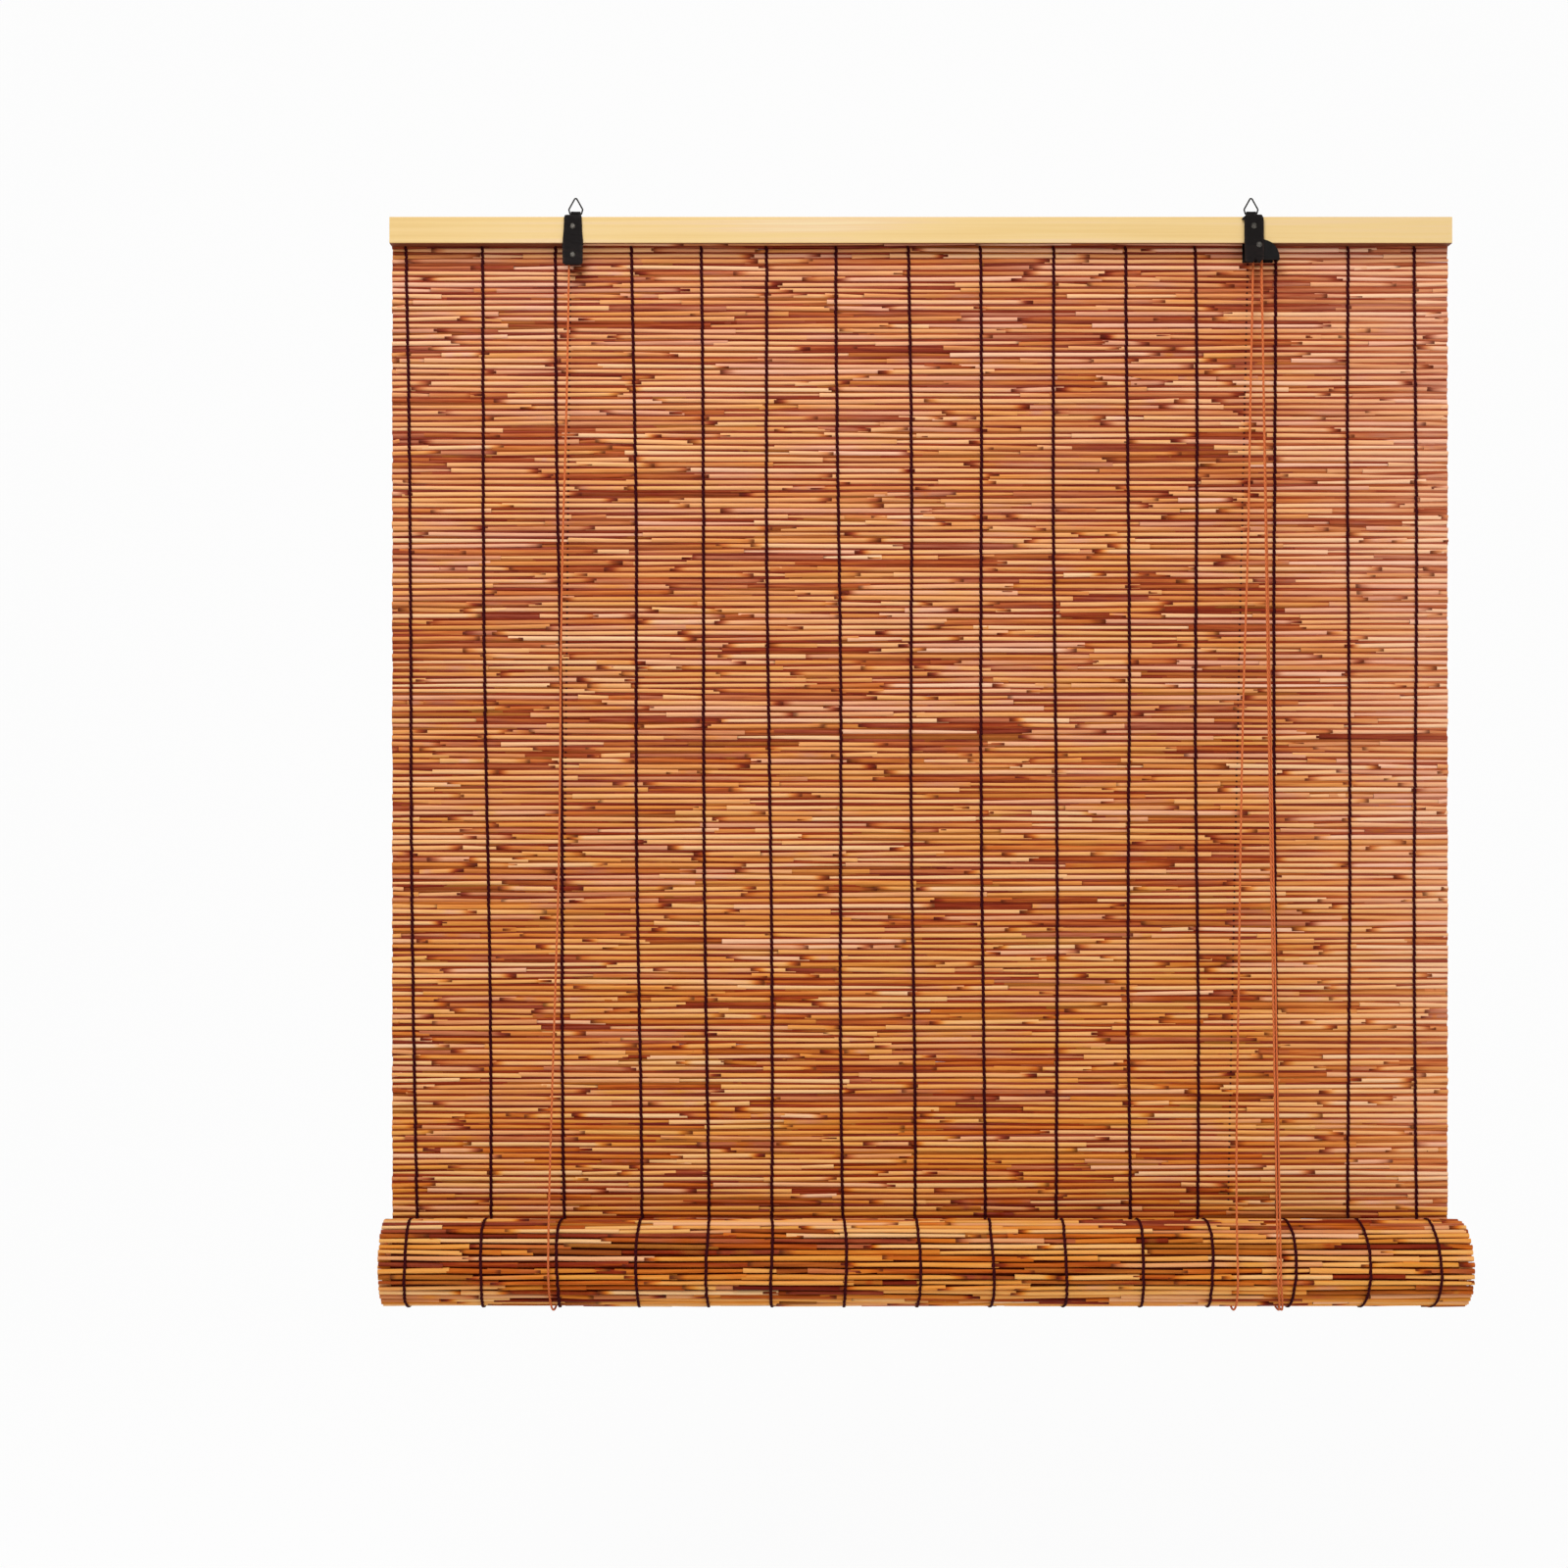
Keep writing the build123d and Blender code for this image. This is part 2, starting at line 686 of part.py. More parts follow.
with BuildPart() as lock_housing:
    with BuildSketch(Plane.XZ.offset(-batten_front)):
        with BuildLine():
            Polyline(
                (fan_right, fan_centre[1]),
                (fan_right, fan_foot),
                (cover_left, fan_foot),
                (cover_left, batten_top - plate_top_drop),
                (strap_edge, batten_top - plate_top_drop),
                (strap_edge, fan_meet),
            )
            ThreePointArc((strap_edge, fan_meet), fan_middle, (fan_right, fan_centre[1]))
        make_face()
        with Locations((right_strap_x, strap_rivet_z), lock_axle_place):
            Circle(rivet_radius, mode=Mode.SUBTRACT)
        with Locations(cam_place, post_place):
            Circle(cam_pin_radius, mode=Mode.SUBTRACT)
    extrude(amount=cover_thickness)
    with BuildSketch(Plane.XZ.offset(-mat_front)):
        top = batten_top - plate_top_drop
        with BuildLine():
            Polyline(
                (cover_left, top),
                (strap_edge, top),
                (strap_edge, rim_top),
                (rear_right, rim_top),
                (rear_right, fan_foot),
                (cover_left, fan_foot),
                close=True,
            )
        make_face()
        with Locations((right_strap_x, strap_rivet_z), lock_axle_place):
            Circle(rivet_radius, mode=Mode.SUBTRACT)
    extrude(amount=plate_thickness)
    # The side wall follows the fan's arc below the batten, and meets both plates
    with BuildSketch(Plane.XZ.offset(-plate_front)):
        with Locations(fan_centre):
            Circle(fan_radius)
            Circle(fan_radius - cover_thickness, mode=Mode.SUBTRACT)
        with Locations((fan_centre_x + fan_radius, (rim_top + fan_foot) / 2)):
            Rectangle(2 * fan_radius * 0.42, rim_top - fan_foot, mode=Mode.INTERSECT)
        with Locations((fan_right - cover_thickness / 2, (fan_foot + fan_centre[1]) / 2)):
            Rectangle(cover_thickness, fan_centre[1] - fan_foot)
    extrude(amount=plate_front - batten_front)
save(lock_housing, "lock_housing")


def cam_radius_at(share):
    """The cam's radius, from its first tooth at share 0 to its last at share 1."""
    return cam_radius + cam_growth * (share - 0.5)


# Toothed cam that jams the pull cords, on its pin
with BuildPart() as lock_cam:
    with BuildSketch(Plane.XZ.offset(-(plate_front - turn_gap))):
        cam_x, cam_z = cam_place
        cam_root = cam_hub_radius - cam_tooth_depth / 2
        step = (cam_last_angle - cam_first_angle) / cam_teeth
        rim = []
        for index in range(cam_teeth):
            angle = radians(cam_first_angle + index * step)
            tip = radians(cam_first_angle + (index + 0.8) * step)
            root_reach = cam_radius_at(index / cam_teeth) - cam_tooth_depth
            tip_reach = cam_radius_at((index + 0.8) / cam_teeth)
            rim.append((cam_x + root_reach * cos(angle), cam_z + root_reach * sin(angle)))
            rim.append((cam_x + tip_reach * cos(tip), cam_z + tip_reach * sin(tip)))
        with BuildLine():
            Polyline((cam_x, cam_z + cam_root), *rim, (cam_x, cam_z - cam_root), close=True)
        make_face()
        with Locations(cam_place):
            Circle(cam_hub_radius)
            Circle(cam_pin_radius + roller_bore_gap, mode=Mode.SUBTRACT)
    extrude(amount=plate_front - batten_front - 2 * turn_gap)
save(lock_cam, "lock_cam")

# Cam pin and the post that the cords are jammed against
with BuildPart() as cam_pin:
    bars_along_y((cam_place,), cam_pin_radius, batten_front - cover_thickness, plate_front)
save(cam_pin, "cam_pin")
with BuildPart() as jam_post:
    bars_along_y((post_place,), cam_pin_radius, batten_front - cover_thickness, batten_front)
    bars_along_y((post_place,), post_radius, batten_front, plate_front)
save(jam_post, "jam_post")


def corners_round_roll(start, turn, count, places):
    """Corners of a cord's route round the roll, which the arcs between them touch.

    start is the angle where the cord meets the roll, turn is how far it goes round, both from
    the roll's rear and downwards, and places are the corners' x values.
    """
    step = turn / count
    reach = cord_orbit / cos(step / 2)
    corners = []
    for index in range(count):
        y, z = on_roll(start + step * (index + 0.5), reach)
        corners.append((places[index], y, z))
    return corners


def meeting_angle(y, z, side):
    """The angle on the roll at which a straight cord from (y, z) meets it, side 1 in front."""
    run = hypot(y - roll_y, z - roll_z)
    towards = atan2(z - roll_z, y - roll_y)
    return (side + 1) * pi - towards - side * (pi / 2 - asin(cord_orbit / run))


def spread(first, last, count):
    """Evenly spaced values from first to last."""
    return [first + (last - first) * index / (count - 1) for index in range(count)]


def tube(route, radii, label):
    """A cord along a route of straight runs and arcs. It prints its arcs and checks its volume."""
    with BuildPart() as cord:
        with BuildLine() as path:
            FilletPolyline(*route, radius=radii)
        line = path.wire()
        with BuildSketch(Plane(origin=line @ 0, z_dir=line % 0)):
            RegularPolygon(cord_radius, 8)
        sweep(path=line)
    section = 2 * 2**0.5 * cord_radius**2
    share = cord.part.volume / (section * line.length)
    print(label, "radii", [round(r, 1) for r in radii], "length", round(line.length, 1))
    print(label, "volume over section times length", round(share, 4))
    return cord


anchor_z = batten_foot + anchor_depth - cord_end_gap
anchor_y = mat_back + strip_depth / 2
roll_bend = cord_orbit * 0.96

# Left lift cord: from the strip down behind the mat, under the roll, up in front and over the
# left roller into the channel, then along it and over the lock's roller
rear_angle = meeting_angle(anchor_y, anchor_z, -1)
left_front_angle = meeting_angle(left_groove_y, left_axle_z, 1)
left_turn = left_front_angle - rear_angle
left_rise_x = left_strap_x - turn_radius
axle_run = hypot(peg_x - left_strap_x, peg_z - left_axle_z)
axle_slope = atan2(peg_z - left_axle_z, peg_x - left_strap_x)
lead_slope = axle_slope + asin((turn_radius - peg_turn) / axle_run)
left_turn_z = left_axle_z + turn_radius * (1 / cos(lead_slope) - sin(lead_slope) / cos(lead_slope))
peg_corner_x = peg_x - peg_turn * (1 / sin(lead_slope) - 1 / (sin(lead_slope) / cos(lead_slope)))
left_route = [
    (left_anchor_x, anchor_y, anchor_z),
    *corners_round_roll(
        rear_angle, left_turn, cord_bends, spread(left_rear_x, left_front_x, cord_bends)
    ),
    (left_rise_x, left_groove_y, left_turn_z),
    (peg_corner_x, left_groove_y, cord_z),
    (pull_x, left_groove_y, lock_axle_z + turn_radius),
    (pull_x, left_groove_y, lock_exit_z),
]
left_radii = [roll_bend] * cord_bends + [turn_radius, peg_turn, turn_radius]
left_lift_cord = tube(left_route, left_radii, "left_lift_cord")
save(left_lift_cord, "left_lift_cord")

# Right lift cord: the same way, but straight up to the lock's roller
right_rise_x = lock_axle_x - turn_radius
right_front_angle = meeting_angle(right_groove_y, lock_axle_z, 1)
right_turn = right_front_angle - rear_angle
right_route = [
    (right_anchor_x, anchor_y, anchor_z),
    *corners_round_roll(
        rear_angle, right_turn, cord_bends, spread(right_rear_x, right_front_x, cord_bends)
    ),
    (right_rise_x, right_groove_y, lock_axle_z + turn_radius),
    (pull_x, right_groove_y, lock_axle_z + turn_radius),
    (pull_x, right_groove_y, lock_exit_z),
]
right_radii = [roll_bend] * cord_bends + [turn_radius, turn_radius]
right_lift_cord = tube(right_route, right_radii, "right_lift_cord")
save(right_lift_cord, "right_lift_cord")

# Pull cords: the same two cords below the lock, down in front of the mat and under the roll
hank_foot = roll_z - hank_foot_drop
hank_front = mat_back + hank_rear_gap
hank_y = hank_front + hank_depth / 2
tie_z = hank_foot + hank_height / 2
first_corner_x, _, first_corner_z = right_route[1]
tie_share = (tie_z - first_corner_z) / (anchor_z - first_corner_z)
cord_at_tie = first_corner_x + (right_anchor_x - first_corner_x) * tie_share
hank_left = cord_at_tie + cord_radius + tie_gap + tie_thickness + tie_gap
hank_x = hank_left + hank_width / 2
pull_end_x = hank_left + hank_width - 2 * hank_round
leave_angle = radians(pull_leaves_at)


def pull_route(side, groove):
    """The route of one pull cord. side is -1 for the left one and 1 for the right one."""
    shift = side * pull_spacing / 2
    front = meeting_angle(groove, lock_exit_z, 1)
    step = (front - leave_angle) / pull_bends
    start_x = pull_front_x + shift
    under_x = pull_under_x + shift
    places = [start_x, (start_x + under_x) / 2, under_x, under_x - 1]
    corners = [
        (x, y, z)
        for x, (_, y, z) in zip(
            places, reversed(corners_round_roll(leave_angle, step * pull_bends, pull_bends, places))
        )
    ]
    leave_y, leave_z = on_roll(leave_angle, cord_orbit)
    lead_z = hank_foot - hank_lead
    lead_y = leave_y + (lead_z - leave_z) * sin(leave_angle) / cos(leave_angle)
    start = (pull_x, groove, lock_exit_z - cord_end_gap)
    end_x = pull_end_x + shift
    return [start, *corners, (end_x, lead_y, lead_z), (end_x, lead_y, hank_foot)]


pull_radii = [roll_bend] * pull_bends + [hank_bend]
left_pull_cord = tube(pull_route(-1, left_groove_y), pull_radii, "left_pull_cord")
save(left_pull_cord, "left_pull_cord")
right_pull_cord = tube(pull_route(1, right_groove_y), pull_radii, "right_pull_cord")
save(right_pull_cord, "right_pull_cord")

# Hank of the spare pull cord, close behind the roll
with BuildPart() as cord_hank:
    with Locations((hank_x, hank_y, hank_foot + hank_height / 2)):
        Box(hank_width, hank_depth, hank_height)
    fillet(cord_hank.edges().filter_by(Axis.Z), hank_round)
save(cord_hank, "cord_hank")

# Tie round the hank, knotted to the right lift cord beside it
with BuildPart() as hank_tie:
    with BuildSketch(Plane.XY.offset(tie_z - tie_height / 2)):
        with Locations((hank_x, hank_y)):
            inner_width = hank_width + 2 * tie_gap
            inner_depth = hank_depth + 2 * tie_gap
            RectangleRounded(
                inner_width + 2 * tie_thickness, inner_depth + 2 * tie_thickness, hank_round + tie_thickness
            )
            RectangleRounded(inner_width, inner_depth, hank_round, mode=Mode.SUBTRACT)
    extrude(amount=tie_height)
save(hank_tie, "hank_tie")

def knob_ring(depth, radius):
    """The corners of the knob's section at a depth below its top."""
    angles = [2 * pi * index / knob_sides for index in range(knob_sides)]
    return [(hank_x + radius * cos(a), hank_y + radius * sin(a), hank_foot - depth) for a in angles]


# Faceted wooden drop on the ends of the pull cords
with BuildPart() as pull_knob:
    rings = [knob_ring(depth, radius) for depth, radius in knob_rings]
    walls = [Face(Wire.make_polygon(ring)) for ring in (rings[0], rings[-1])]
    for upper, lower in zip(rings, rings[1:]):
        for side in range(knob_sides):
            corners = (upper[side - 1], upper[side], lower[side], lower[side - 1])
            walls.append(Face(Wire.make_polygon(corners)))
    add(Solid(Shell(walls)))
save(pull_knob, "pull_knob")
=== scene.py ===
import math
import random
from functools import cache

import bmesh
import bpy
from mathutils import Matrix, Vector


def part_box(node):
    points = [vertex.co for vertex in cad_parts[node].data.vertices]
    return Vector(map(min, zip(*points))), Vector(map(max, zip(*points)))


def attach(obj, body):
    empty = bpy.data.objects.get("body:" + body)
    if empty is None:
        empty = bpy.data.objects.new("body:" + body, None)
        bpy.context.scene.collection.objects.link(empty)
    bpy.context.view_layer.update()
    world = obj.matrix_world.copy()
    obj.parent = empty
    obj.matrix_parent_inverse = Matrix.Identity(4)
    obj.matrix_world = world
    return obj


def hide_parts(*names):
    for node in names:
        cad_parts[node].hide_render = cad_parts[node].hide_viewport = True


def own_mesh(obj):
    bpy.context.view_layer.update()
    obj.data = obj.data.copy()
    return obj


bl_info = {
    "name": "Reed roller blind",
    "version": (1, 0, 0),
    "blender": (4, 5, 0),
    "location": "3D View > Sidebar > Blind",
    "description": "Dresses a reed roller blind: its reeds, threads, straps, cords and finishes",
    "category": "Object",
}

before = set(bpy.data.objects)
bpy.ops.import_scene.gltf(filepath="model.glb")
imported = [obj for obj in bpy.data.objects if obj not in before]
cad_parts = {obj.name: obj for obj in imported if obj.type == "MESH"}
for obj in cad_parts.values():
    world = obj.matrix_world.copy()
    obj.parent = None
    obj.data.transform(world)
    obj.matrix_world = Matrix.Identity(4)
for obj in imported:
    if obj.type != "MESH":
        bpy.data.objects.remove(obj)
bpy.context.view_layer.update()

# Places taken from the frame, in metres
mat_low, mat_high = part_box("reed_mat")
rod_low, rod_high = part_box("foot_rod")
batten_low, batten_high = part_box("head_batten")
strip_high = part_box("backing_strip")[1]
housing_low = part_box("lock_housing")[0]
hank_low, hank_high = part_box("cord_hank")
tie_low, tie_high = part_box("hank_tie")
roll_y = (rod_low.y + rod_high.y) / 2
roll_z = (rod_low.z + rod_high.z) / 2
rod_radius = (rod_high.z - rod_low.z) / 2
roll_radius = mat_high.y - roll_y
mat_width = mat_high.x - mat_low.x
mat_thickness = mat_high.y - mat_low.y
turn_pitch = mat_thickness + 0.0003
# Below this level the cords lie along the roll and ride with it
cord_foot_z = max(roll_z + roll_radius, hank_high.z)

# The cords' routes, in metres
LEFT_LIFT_BACK = [
    (-0.33050, 0.00560, -0.03520),
    (-0.33062, 0.00558, -0.04800),
    (-0.33973, 0.00398, -0.98400),
    (-0.34000, 0.00392, -1.01193),
]
LEFT_LIFT_UNDER = [
    (-0.34075, -0.01370, -1.03534),
    (-0.34150, -0.04185, -1.04349),
    (-0.34225, -0.06926, -1.03312),
    (-0.34300, -0.08496, -1.00838),
]
LEFT_LIFT_FRONT = [
    (-0.34330, -0.08274, -0.98000),
    (-0.34250, -0.07723, -0.91000),
    (-0.33890, -0.06463, -0.75000),
    (-0.33560, -0.05345, -0.60800),
    (-0.33640, -0.03487, -0.37200),
    (-0.33250, -0.02172, -0.20500),
    (-0.33130, -0.01139, -0.06760),
]
LEFT_LIFT_HEAD = [
    (-0.33120, -0.01040, -0.05500),
    (-0.32117, -0.01040, -0.04060),
    (-0.30800, -0.01040, -0.04065),
    (0.30800, -0.01040, -0.04295),
    (0.32180, -0.01040, -0.04300),
    (0.32180, -0.01040, -0.06180),
]
RIGHT_LIFT_BACK = [
    (0.31100, 0.00560, -0.03520),
    (0.31073, 0.00558, -0.04800),
    (0.29128, 0.00398, -0.98400),
    (0.29070, 0.00392, -1.01194),
]
RIGHT_LIFT_UNDER = [
    (0.28902, -0.01374, -1.03537),
    (0.28735, -0.04193, -1.04349),
    (0.28568, -0.06934, -1.03306),
    (0.28400, -0.08500, -1.00824),
]
RIGHT_LIFT_FRONT = [
    (0.28360, -0.08270, -0.98000),
    (0.28370, -0.07664, -0.90500),
    (0.28800, -0.06562, -0.76900),
    (0.29290, -0.05255, -0.60800),
    (0.29800, -0.04077, -0.46300),
    (0.30470, -0.03037, -0.33500),
    (0.30940, -0.01826, -0.18600),
    (0.31400, -0.00849, -0.06760),
]
RIGHT_LIFT_HEAD = [
    (0.31420, -0.00650, -0.04300),
    (0.32180, -0.00650, -0.04300),
    (0.32180, -0.00650, -0.06180),
]
LEFT_PULL_FRONT = [
    (0.32180, -0.01040, -0.06190),
    (0.32155, -0.01185, -0.08000),
    (0.32040, -0.04680, -0.52500),
    (0.32025, -0.08270, -0.97900),
]
LEFT_PULL_UNDER = [
    (0.32025, -0.08490, -1.00751),
    (0.32495, -0.07094, -1.03133),
    (0.32965, -0.04586, -1.04289),
    (0.32865, -0.01868, -1.03804),
    (0.31958, 0.00615, -1.01320),
]
RIGHT_PULL_FRONT = [
    (0.32180, -0.00650, -0.06190),
    (0.32210, -0.00800, -0.08000),
    (0.32290, -0.04480, -0.52500),
    (0.32295, -0.08270, -0.97900),
]
RIGHT_PULL_UNDER = [
    (0.32295, -0.08494, -1.00735),
    (0.32765, -0.07103, -1.03126),
    (0.33235, -0.04594, -1.04289),
    (0.33135, -0.01870, -1.03806),
    (0.32228, 0.00615, -1.01320),
]


def from_hex(colour):
    """An sRGB hex colour as linear RGBA."""
    values = [int(colour[i : i + 2], 16) / 255 for i in (1, 3, 5)]
    linear = [v / 12.92 if v <= 0.04045 else ((v + 0.055) / 1.055) ** 2.4 for v in values]
    return (*linear, 1.0)


def add_node(tree, kind, inputs=None, **settings):
    """Adds a node with its settings. inputs holds a value or another node's socket for each."""
    made = tree.nodes.new(kind)
    for key, value in settings.items():
        setattr(made, key, value)
    for key, value in (inputs or {}).items():
        if isinstance(value, bpy.types.NodeSocket):
            tree.links.new(value, made.inputs[key])
        else:
            made.inputs[key].default_value = value
    return made


def maths(tree, operation, *values):
    """The result of a Math node."""
    inputs = dict(enumerate(values))
    return add_node(tree, "ShaderNodeMath", inputs, operation=operation).outputs[0]


def vectors(tree, operation, first, second):
    """The result of a Vector Math node. For SCALE the second is a number."""
    inputs = {0: first, "Scale" if operation == "SCALE" else 1: second}
    return add_node(tree, "ShaderNodeVectorMath", inputs, operation=operation).outputs[0]


def spread(tree, value, before, after, interpolation="LINEAR"):
    """A value taken from one range to another, and kept inside it."""
    inputs = {"Value": value}
    inputs.update({"From Min": before[0], "From Max": before[1]})
    inputs.update({"To Min": after[0], "To Max": after[1]})
    made = add_node(tree, "ShaderNodeMapRange", inputs, interpolation_type=interpolation)
    return made.outputs["Result"]


def blend(tree, share, first, colour):
    """A colour socket mixed with a second colour, which is a socket or a hex value."""
    second = from_hex(colour) if isinstance(colour, str) else colour
    inputs = {0: share, 6: first, 7: second}
    return add_node(tree, "ShaderNodeMix", inputs, data_type="RGBA").outputs[2]


def ramp(tree, share, *stops):
    """The colour of a ramp with these stops, each a place and a hex colour."""
    made = add_node(tree, "ShaderNodeValToRGB", {"Fac": share})
    elements = made.color_ramp.elements
    while len(elements) < len(stops):
        elements.new(1.0)
    for element, (position, colour) in zip(elements, stops):
        element.position = position
        element.color = from_hex(colour)
    return made.outputs["Color"]


def attribute(tree, name):
    """The socket of a mesh's attribute in a material."""
    return add_node(tree, "ShaderNodeAttribute", attribute_name=name).outputs["Fac"]


def object_place(tree):
    """The socket of the Object coordinates."""
    return add_node(tree, "ShaderNodeTexCoord").outputs["Object"]


def parts(tree, vector):
    """The X, Y and Z sockets of a vector."""
    return add_node(tree, "ShaderNodeSeparateXYZ", {"Vector": vector}).outputs


def facing(tree, axis):
    """How far a surface faces along an axis."""
    return parts(tree, add_node(tree, "ShaderNodeNewGeometry").outputs["Normal"])[axis]


def stretched_noise(tree, scale, detail=3.0):
    """Noise over Object coordinates, with its own scale in cycles a metre along each axis."""
    inputs = {"Vector": object_place(tree), "Scale": scale}
    mapped = add_node(tree, "ShaderNodeMapping", inputs).outputs["Vector"]
    inputs = {"Vector": mapped, "Scale": 1.0, "Detail": detail, "Roughness": 0.55}
    return add_node(tree, "ShaderNodeTexNoise", inputs).outputs["Fac"]


def new_material(name):
    """A material without nodes, as (material, node tree)."""
    material = bpy.data.materials.new(name)
    material.use_nodes = True
    material.node_tree.nodes.clear()
    return material, material.node_tree


def finish_material(material, colour, roughness, specular=0.5, metallic=0.0, relief=None):
    """Ends a material in its shader. relief is the height, strength and depth of its bump."""
    tree = material.node_tree
    inputs = {"Base Color": colour, "Roughness": roughness, "Metallic": metallic}
    inputs["Specular IOR Level"] = specular
    if relief:
        bump = dict(zip(("Height", "Strength", "Distance"), relief))
        inputs["Normal"] = add_node(tree, "ShaderNodeBump", bump).outputs["Normal"]
    shader = add_node(tree, "ShaderNodeBsdfPrincipled", inputs)
    add_node(tree, "ShaderNodeOutputMaterial", {"Surface": shader.outputs["BSDF"]})
    return material


# Streaks of stain, 45 mm long and 2 mm wide
STREAKS = (22.0, 500.0, 500.0)


@cache
def stained_reed():
    """River reed, stained and varnished: round glossy stalks that go from straw to dark red."""
    material, tree = new_material("stained_varnished_reed")
    to_tip = attribute(tree, "to_tip")
    # The stain gathers in the last 18 mm towards a reed's tip
    run = spread(tree, to_tip, (0.018, 0.004), (0.0, 1.0), "SMOOTHSTEP")
    tones = {0: run, 2: attribute(tree, "tone"), 3: attribute(tree, "tip_tone")}
    tone = add_node(tree, "ShaderNodeMix", tones).outputs[0]
    streaks = spread(tree, stretched_noise(tree, STREAKS), (0.3, 0.7), (-0.08, 0.08))
    at = parts(tree, object_place(tree))
    hanging = maths(tree, "GREATER_THAN", at["Z"], roll_z + roll_radius)
    # The right-hand edge has faded
    edge = spread(tree, at["X"], (0.3, 0.5), (0.0, 0.32))
    edge = maths(tree, "MULTIPLY", edge, hanging)
    toned = maths(tree, "ADD", tone, streaks)
    toned = maths(tree, "ADD", toned, maths(tree, "MULTIPLY", edge, 0.5))
    stain = ramp(
        tree,
        toned,
        (0.0, "#6A1402"),
        (0.16, "#942E06"),
        (0.34, "#D46C1A"),
        (0.52, "#F09A3C"),
        (0.74, "#FCBA6A"),
        (1.0, "#FFD29C"),
    )
    # The head of the mat has faded to a pinker tan
    fading = spread(tree, at["Z"], (-0.9, -0.05), (0.1, 1.0))
    fading = maths(tree, "MULTIPLY", fading, hanging)
    patches = stretched_noise(tree, (9.0, 60.0, 40.0))
    faded = maths(tree, "ADD", maths(tree, "MULTIPLY", fading, patches), edge)
    # Some reeds are pinker than their neighbours, and some more golden
    reed = {"W": attribute(tree, "reed")}
    kind = add_node(tree, "ShaderNodeTexWhiteNoise", reed, noise_dimensions="1D").outputs["Value"]
    pinker = spread(tree, kind, (0.65, 0.9), (0.0, 0.6))
    golden = spread(tree, kind, (0.3, 0.0), (0.0, 0.35))
    gilded = blend(tree, golden, stain, "#DFA23C")
    rose = ramp(
        tree,
        toned,
        (0.0, "#6E1C12"),
        (0.2, "#A04A32"),
        (0.45, "#D28A6A"),
        (0.7, "#F2B08E"),
        (1.0, "#FFCAAA"),
    )
    pinked = blend(tree, maths(tree, "ADD", faded, pinker), gilded, rose)
    # The cut tip is dark brown
    burnt = spread(tree, to_tip, (0.007, 0.001), (0.0, 0.75), "SMOOTHSTEP")
    tipped = blend(tree, burnt, pinked, "#561E0A")
    # Cut ends are darker, as the stain soaks into them
    cut = maths(tree, "GREATER_THAN", maths(tree, "ABSOLUTE", facing(tree, "X")), 0.9)
    colour = blend(tree, cut, tipped, "#6A3018")
    # Fibres are drawn 0.8 mm wide, as coarse as they show
    fibres = stretched_noise(tree, (30.0, 1200.0, 1200.0), detail=2.0)
    gloss = spread(tree, fibres, (0.0, 1.0), (0.4, 0.62))
    return finish_material(material, colour, gloss, specular=0.1, relief=(fibres, 0.35, 0.0004))


def painted_shade_reed():
    """Reed in the depth of the roll: the same red stain, painted dark as shade, and without gloss.
    """
    material, tree = new_material("stained_reed_in_painted_shade")
    colour = ramp(tree, stretched_noise(tree, STREAKS), (0.3, "#4A1206"), (0.7, "#74280E"))
    return finish_material(material, colour, 0.95, specular=0.0)


def planed_pine():
    """Planed pine, unvarnished: pale, matt, with fine straight grain along the bar."""
    material, tree = new_material("planed_pine")
    # Growth rings 5 mm apart, drawn out to 400 mm along the bar
    rings = stretched_noise(tree, (2.5, 200.0, 200.0), detail=4.0)
    boards = stretched_noise(tree, (3.0, 12.0, 12.0), detail=1.0)
    grain = ramp(
        tree,
        spread(tree, maths(tree, "ADD", rings, boards), (0.7, 1.3), (0.0, 1.0)),
        (0.0, "#E2BC75"),
        (0.35, "#E9C683"),
        (0.6, "#ECCB8C"),
        (0.8, "#ECCA98"),
        (1.0, "#F0D6A8"),
    )
    # The bar's underside is painted dark brown: painted shade under the bar
    under = maths(tree, "LESS_THAN", facing(tree, "Z"), -0.8)
    colour = blend(tree, under, grain, "#7A3C1C")
    # Open grain 0.6 mm apart, as coarse as it shows
    pores = stretched_noise(tree, (25.0, 1600.0, 1600.0), detail=2.0)
    return finish_material(material, colour, 0.62, relief=(pores, 0.18, 0.0003))


@cache
def twisted_cotton(name, light, dark):
    """Twisted cotton: matt, with painted shade in the creases between its strands, and a soft edge.
    """
    material, tree = new_material(name)
    # Fuzz 1.4 mm across
    fuzz = stretched_noise(tree, (700.0, 700.0, 700.0), detail=2.0)
    # Painted shade: the colour is darker in the creases between the strands than on their ridges
    share = maths(tree, "ADD", attribute(tree, "ridge"), maths(tree, "MULTIPLY", fuzz, 0.35))
    colour = ramp(tree, share, (0.15, dark), (0.85, light))
    return finish_material(material, colour, 0.85, specular=0.05, relief=(fuzz, 0.3, 0.0003))


@cache
def worn_leather():
    """Chrome-tanned hide, black-brown and thick: fine creases and paler rubbed edges."""
    material, tree = new_material("worn_black_leather")
    # Pebbled grain, cells 1.1 mm across
    cells = add_node(
        tree,
        "ShaderNodeTexVoronoi",
        {"Vector": object_place(tree), "Scale": 900.0, "Randomness": 1.0},
        feature="DISTANCE_TO_EDGE",
    ).outputs["Distance"]
    creases = stretched_noise(tree, (160.0, 160.0, 420.0), detail=5.0)
    worn = maths(tree, "MULTIPLY", attribute(tree, "rub"), creases)
    stops = ((0.0, "#0A0605"), (0.3, "#120C0B"), (0.55, "#1E1513"), (1.0, "#40302A"))
    colour = ramp(tree, worn, *stops)
    relief = maths(tree, "ADD", cells, maths(tree, "MULTIPLY", creases, 1.2))
    return finish_material(material, colour, 0.65, specular=0.14, relief=(relief, 0.5, 0.0005))


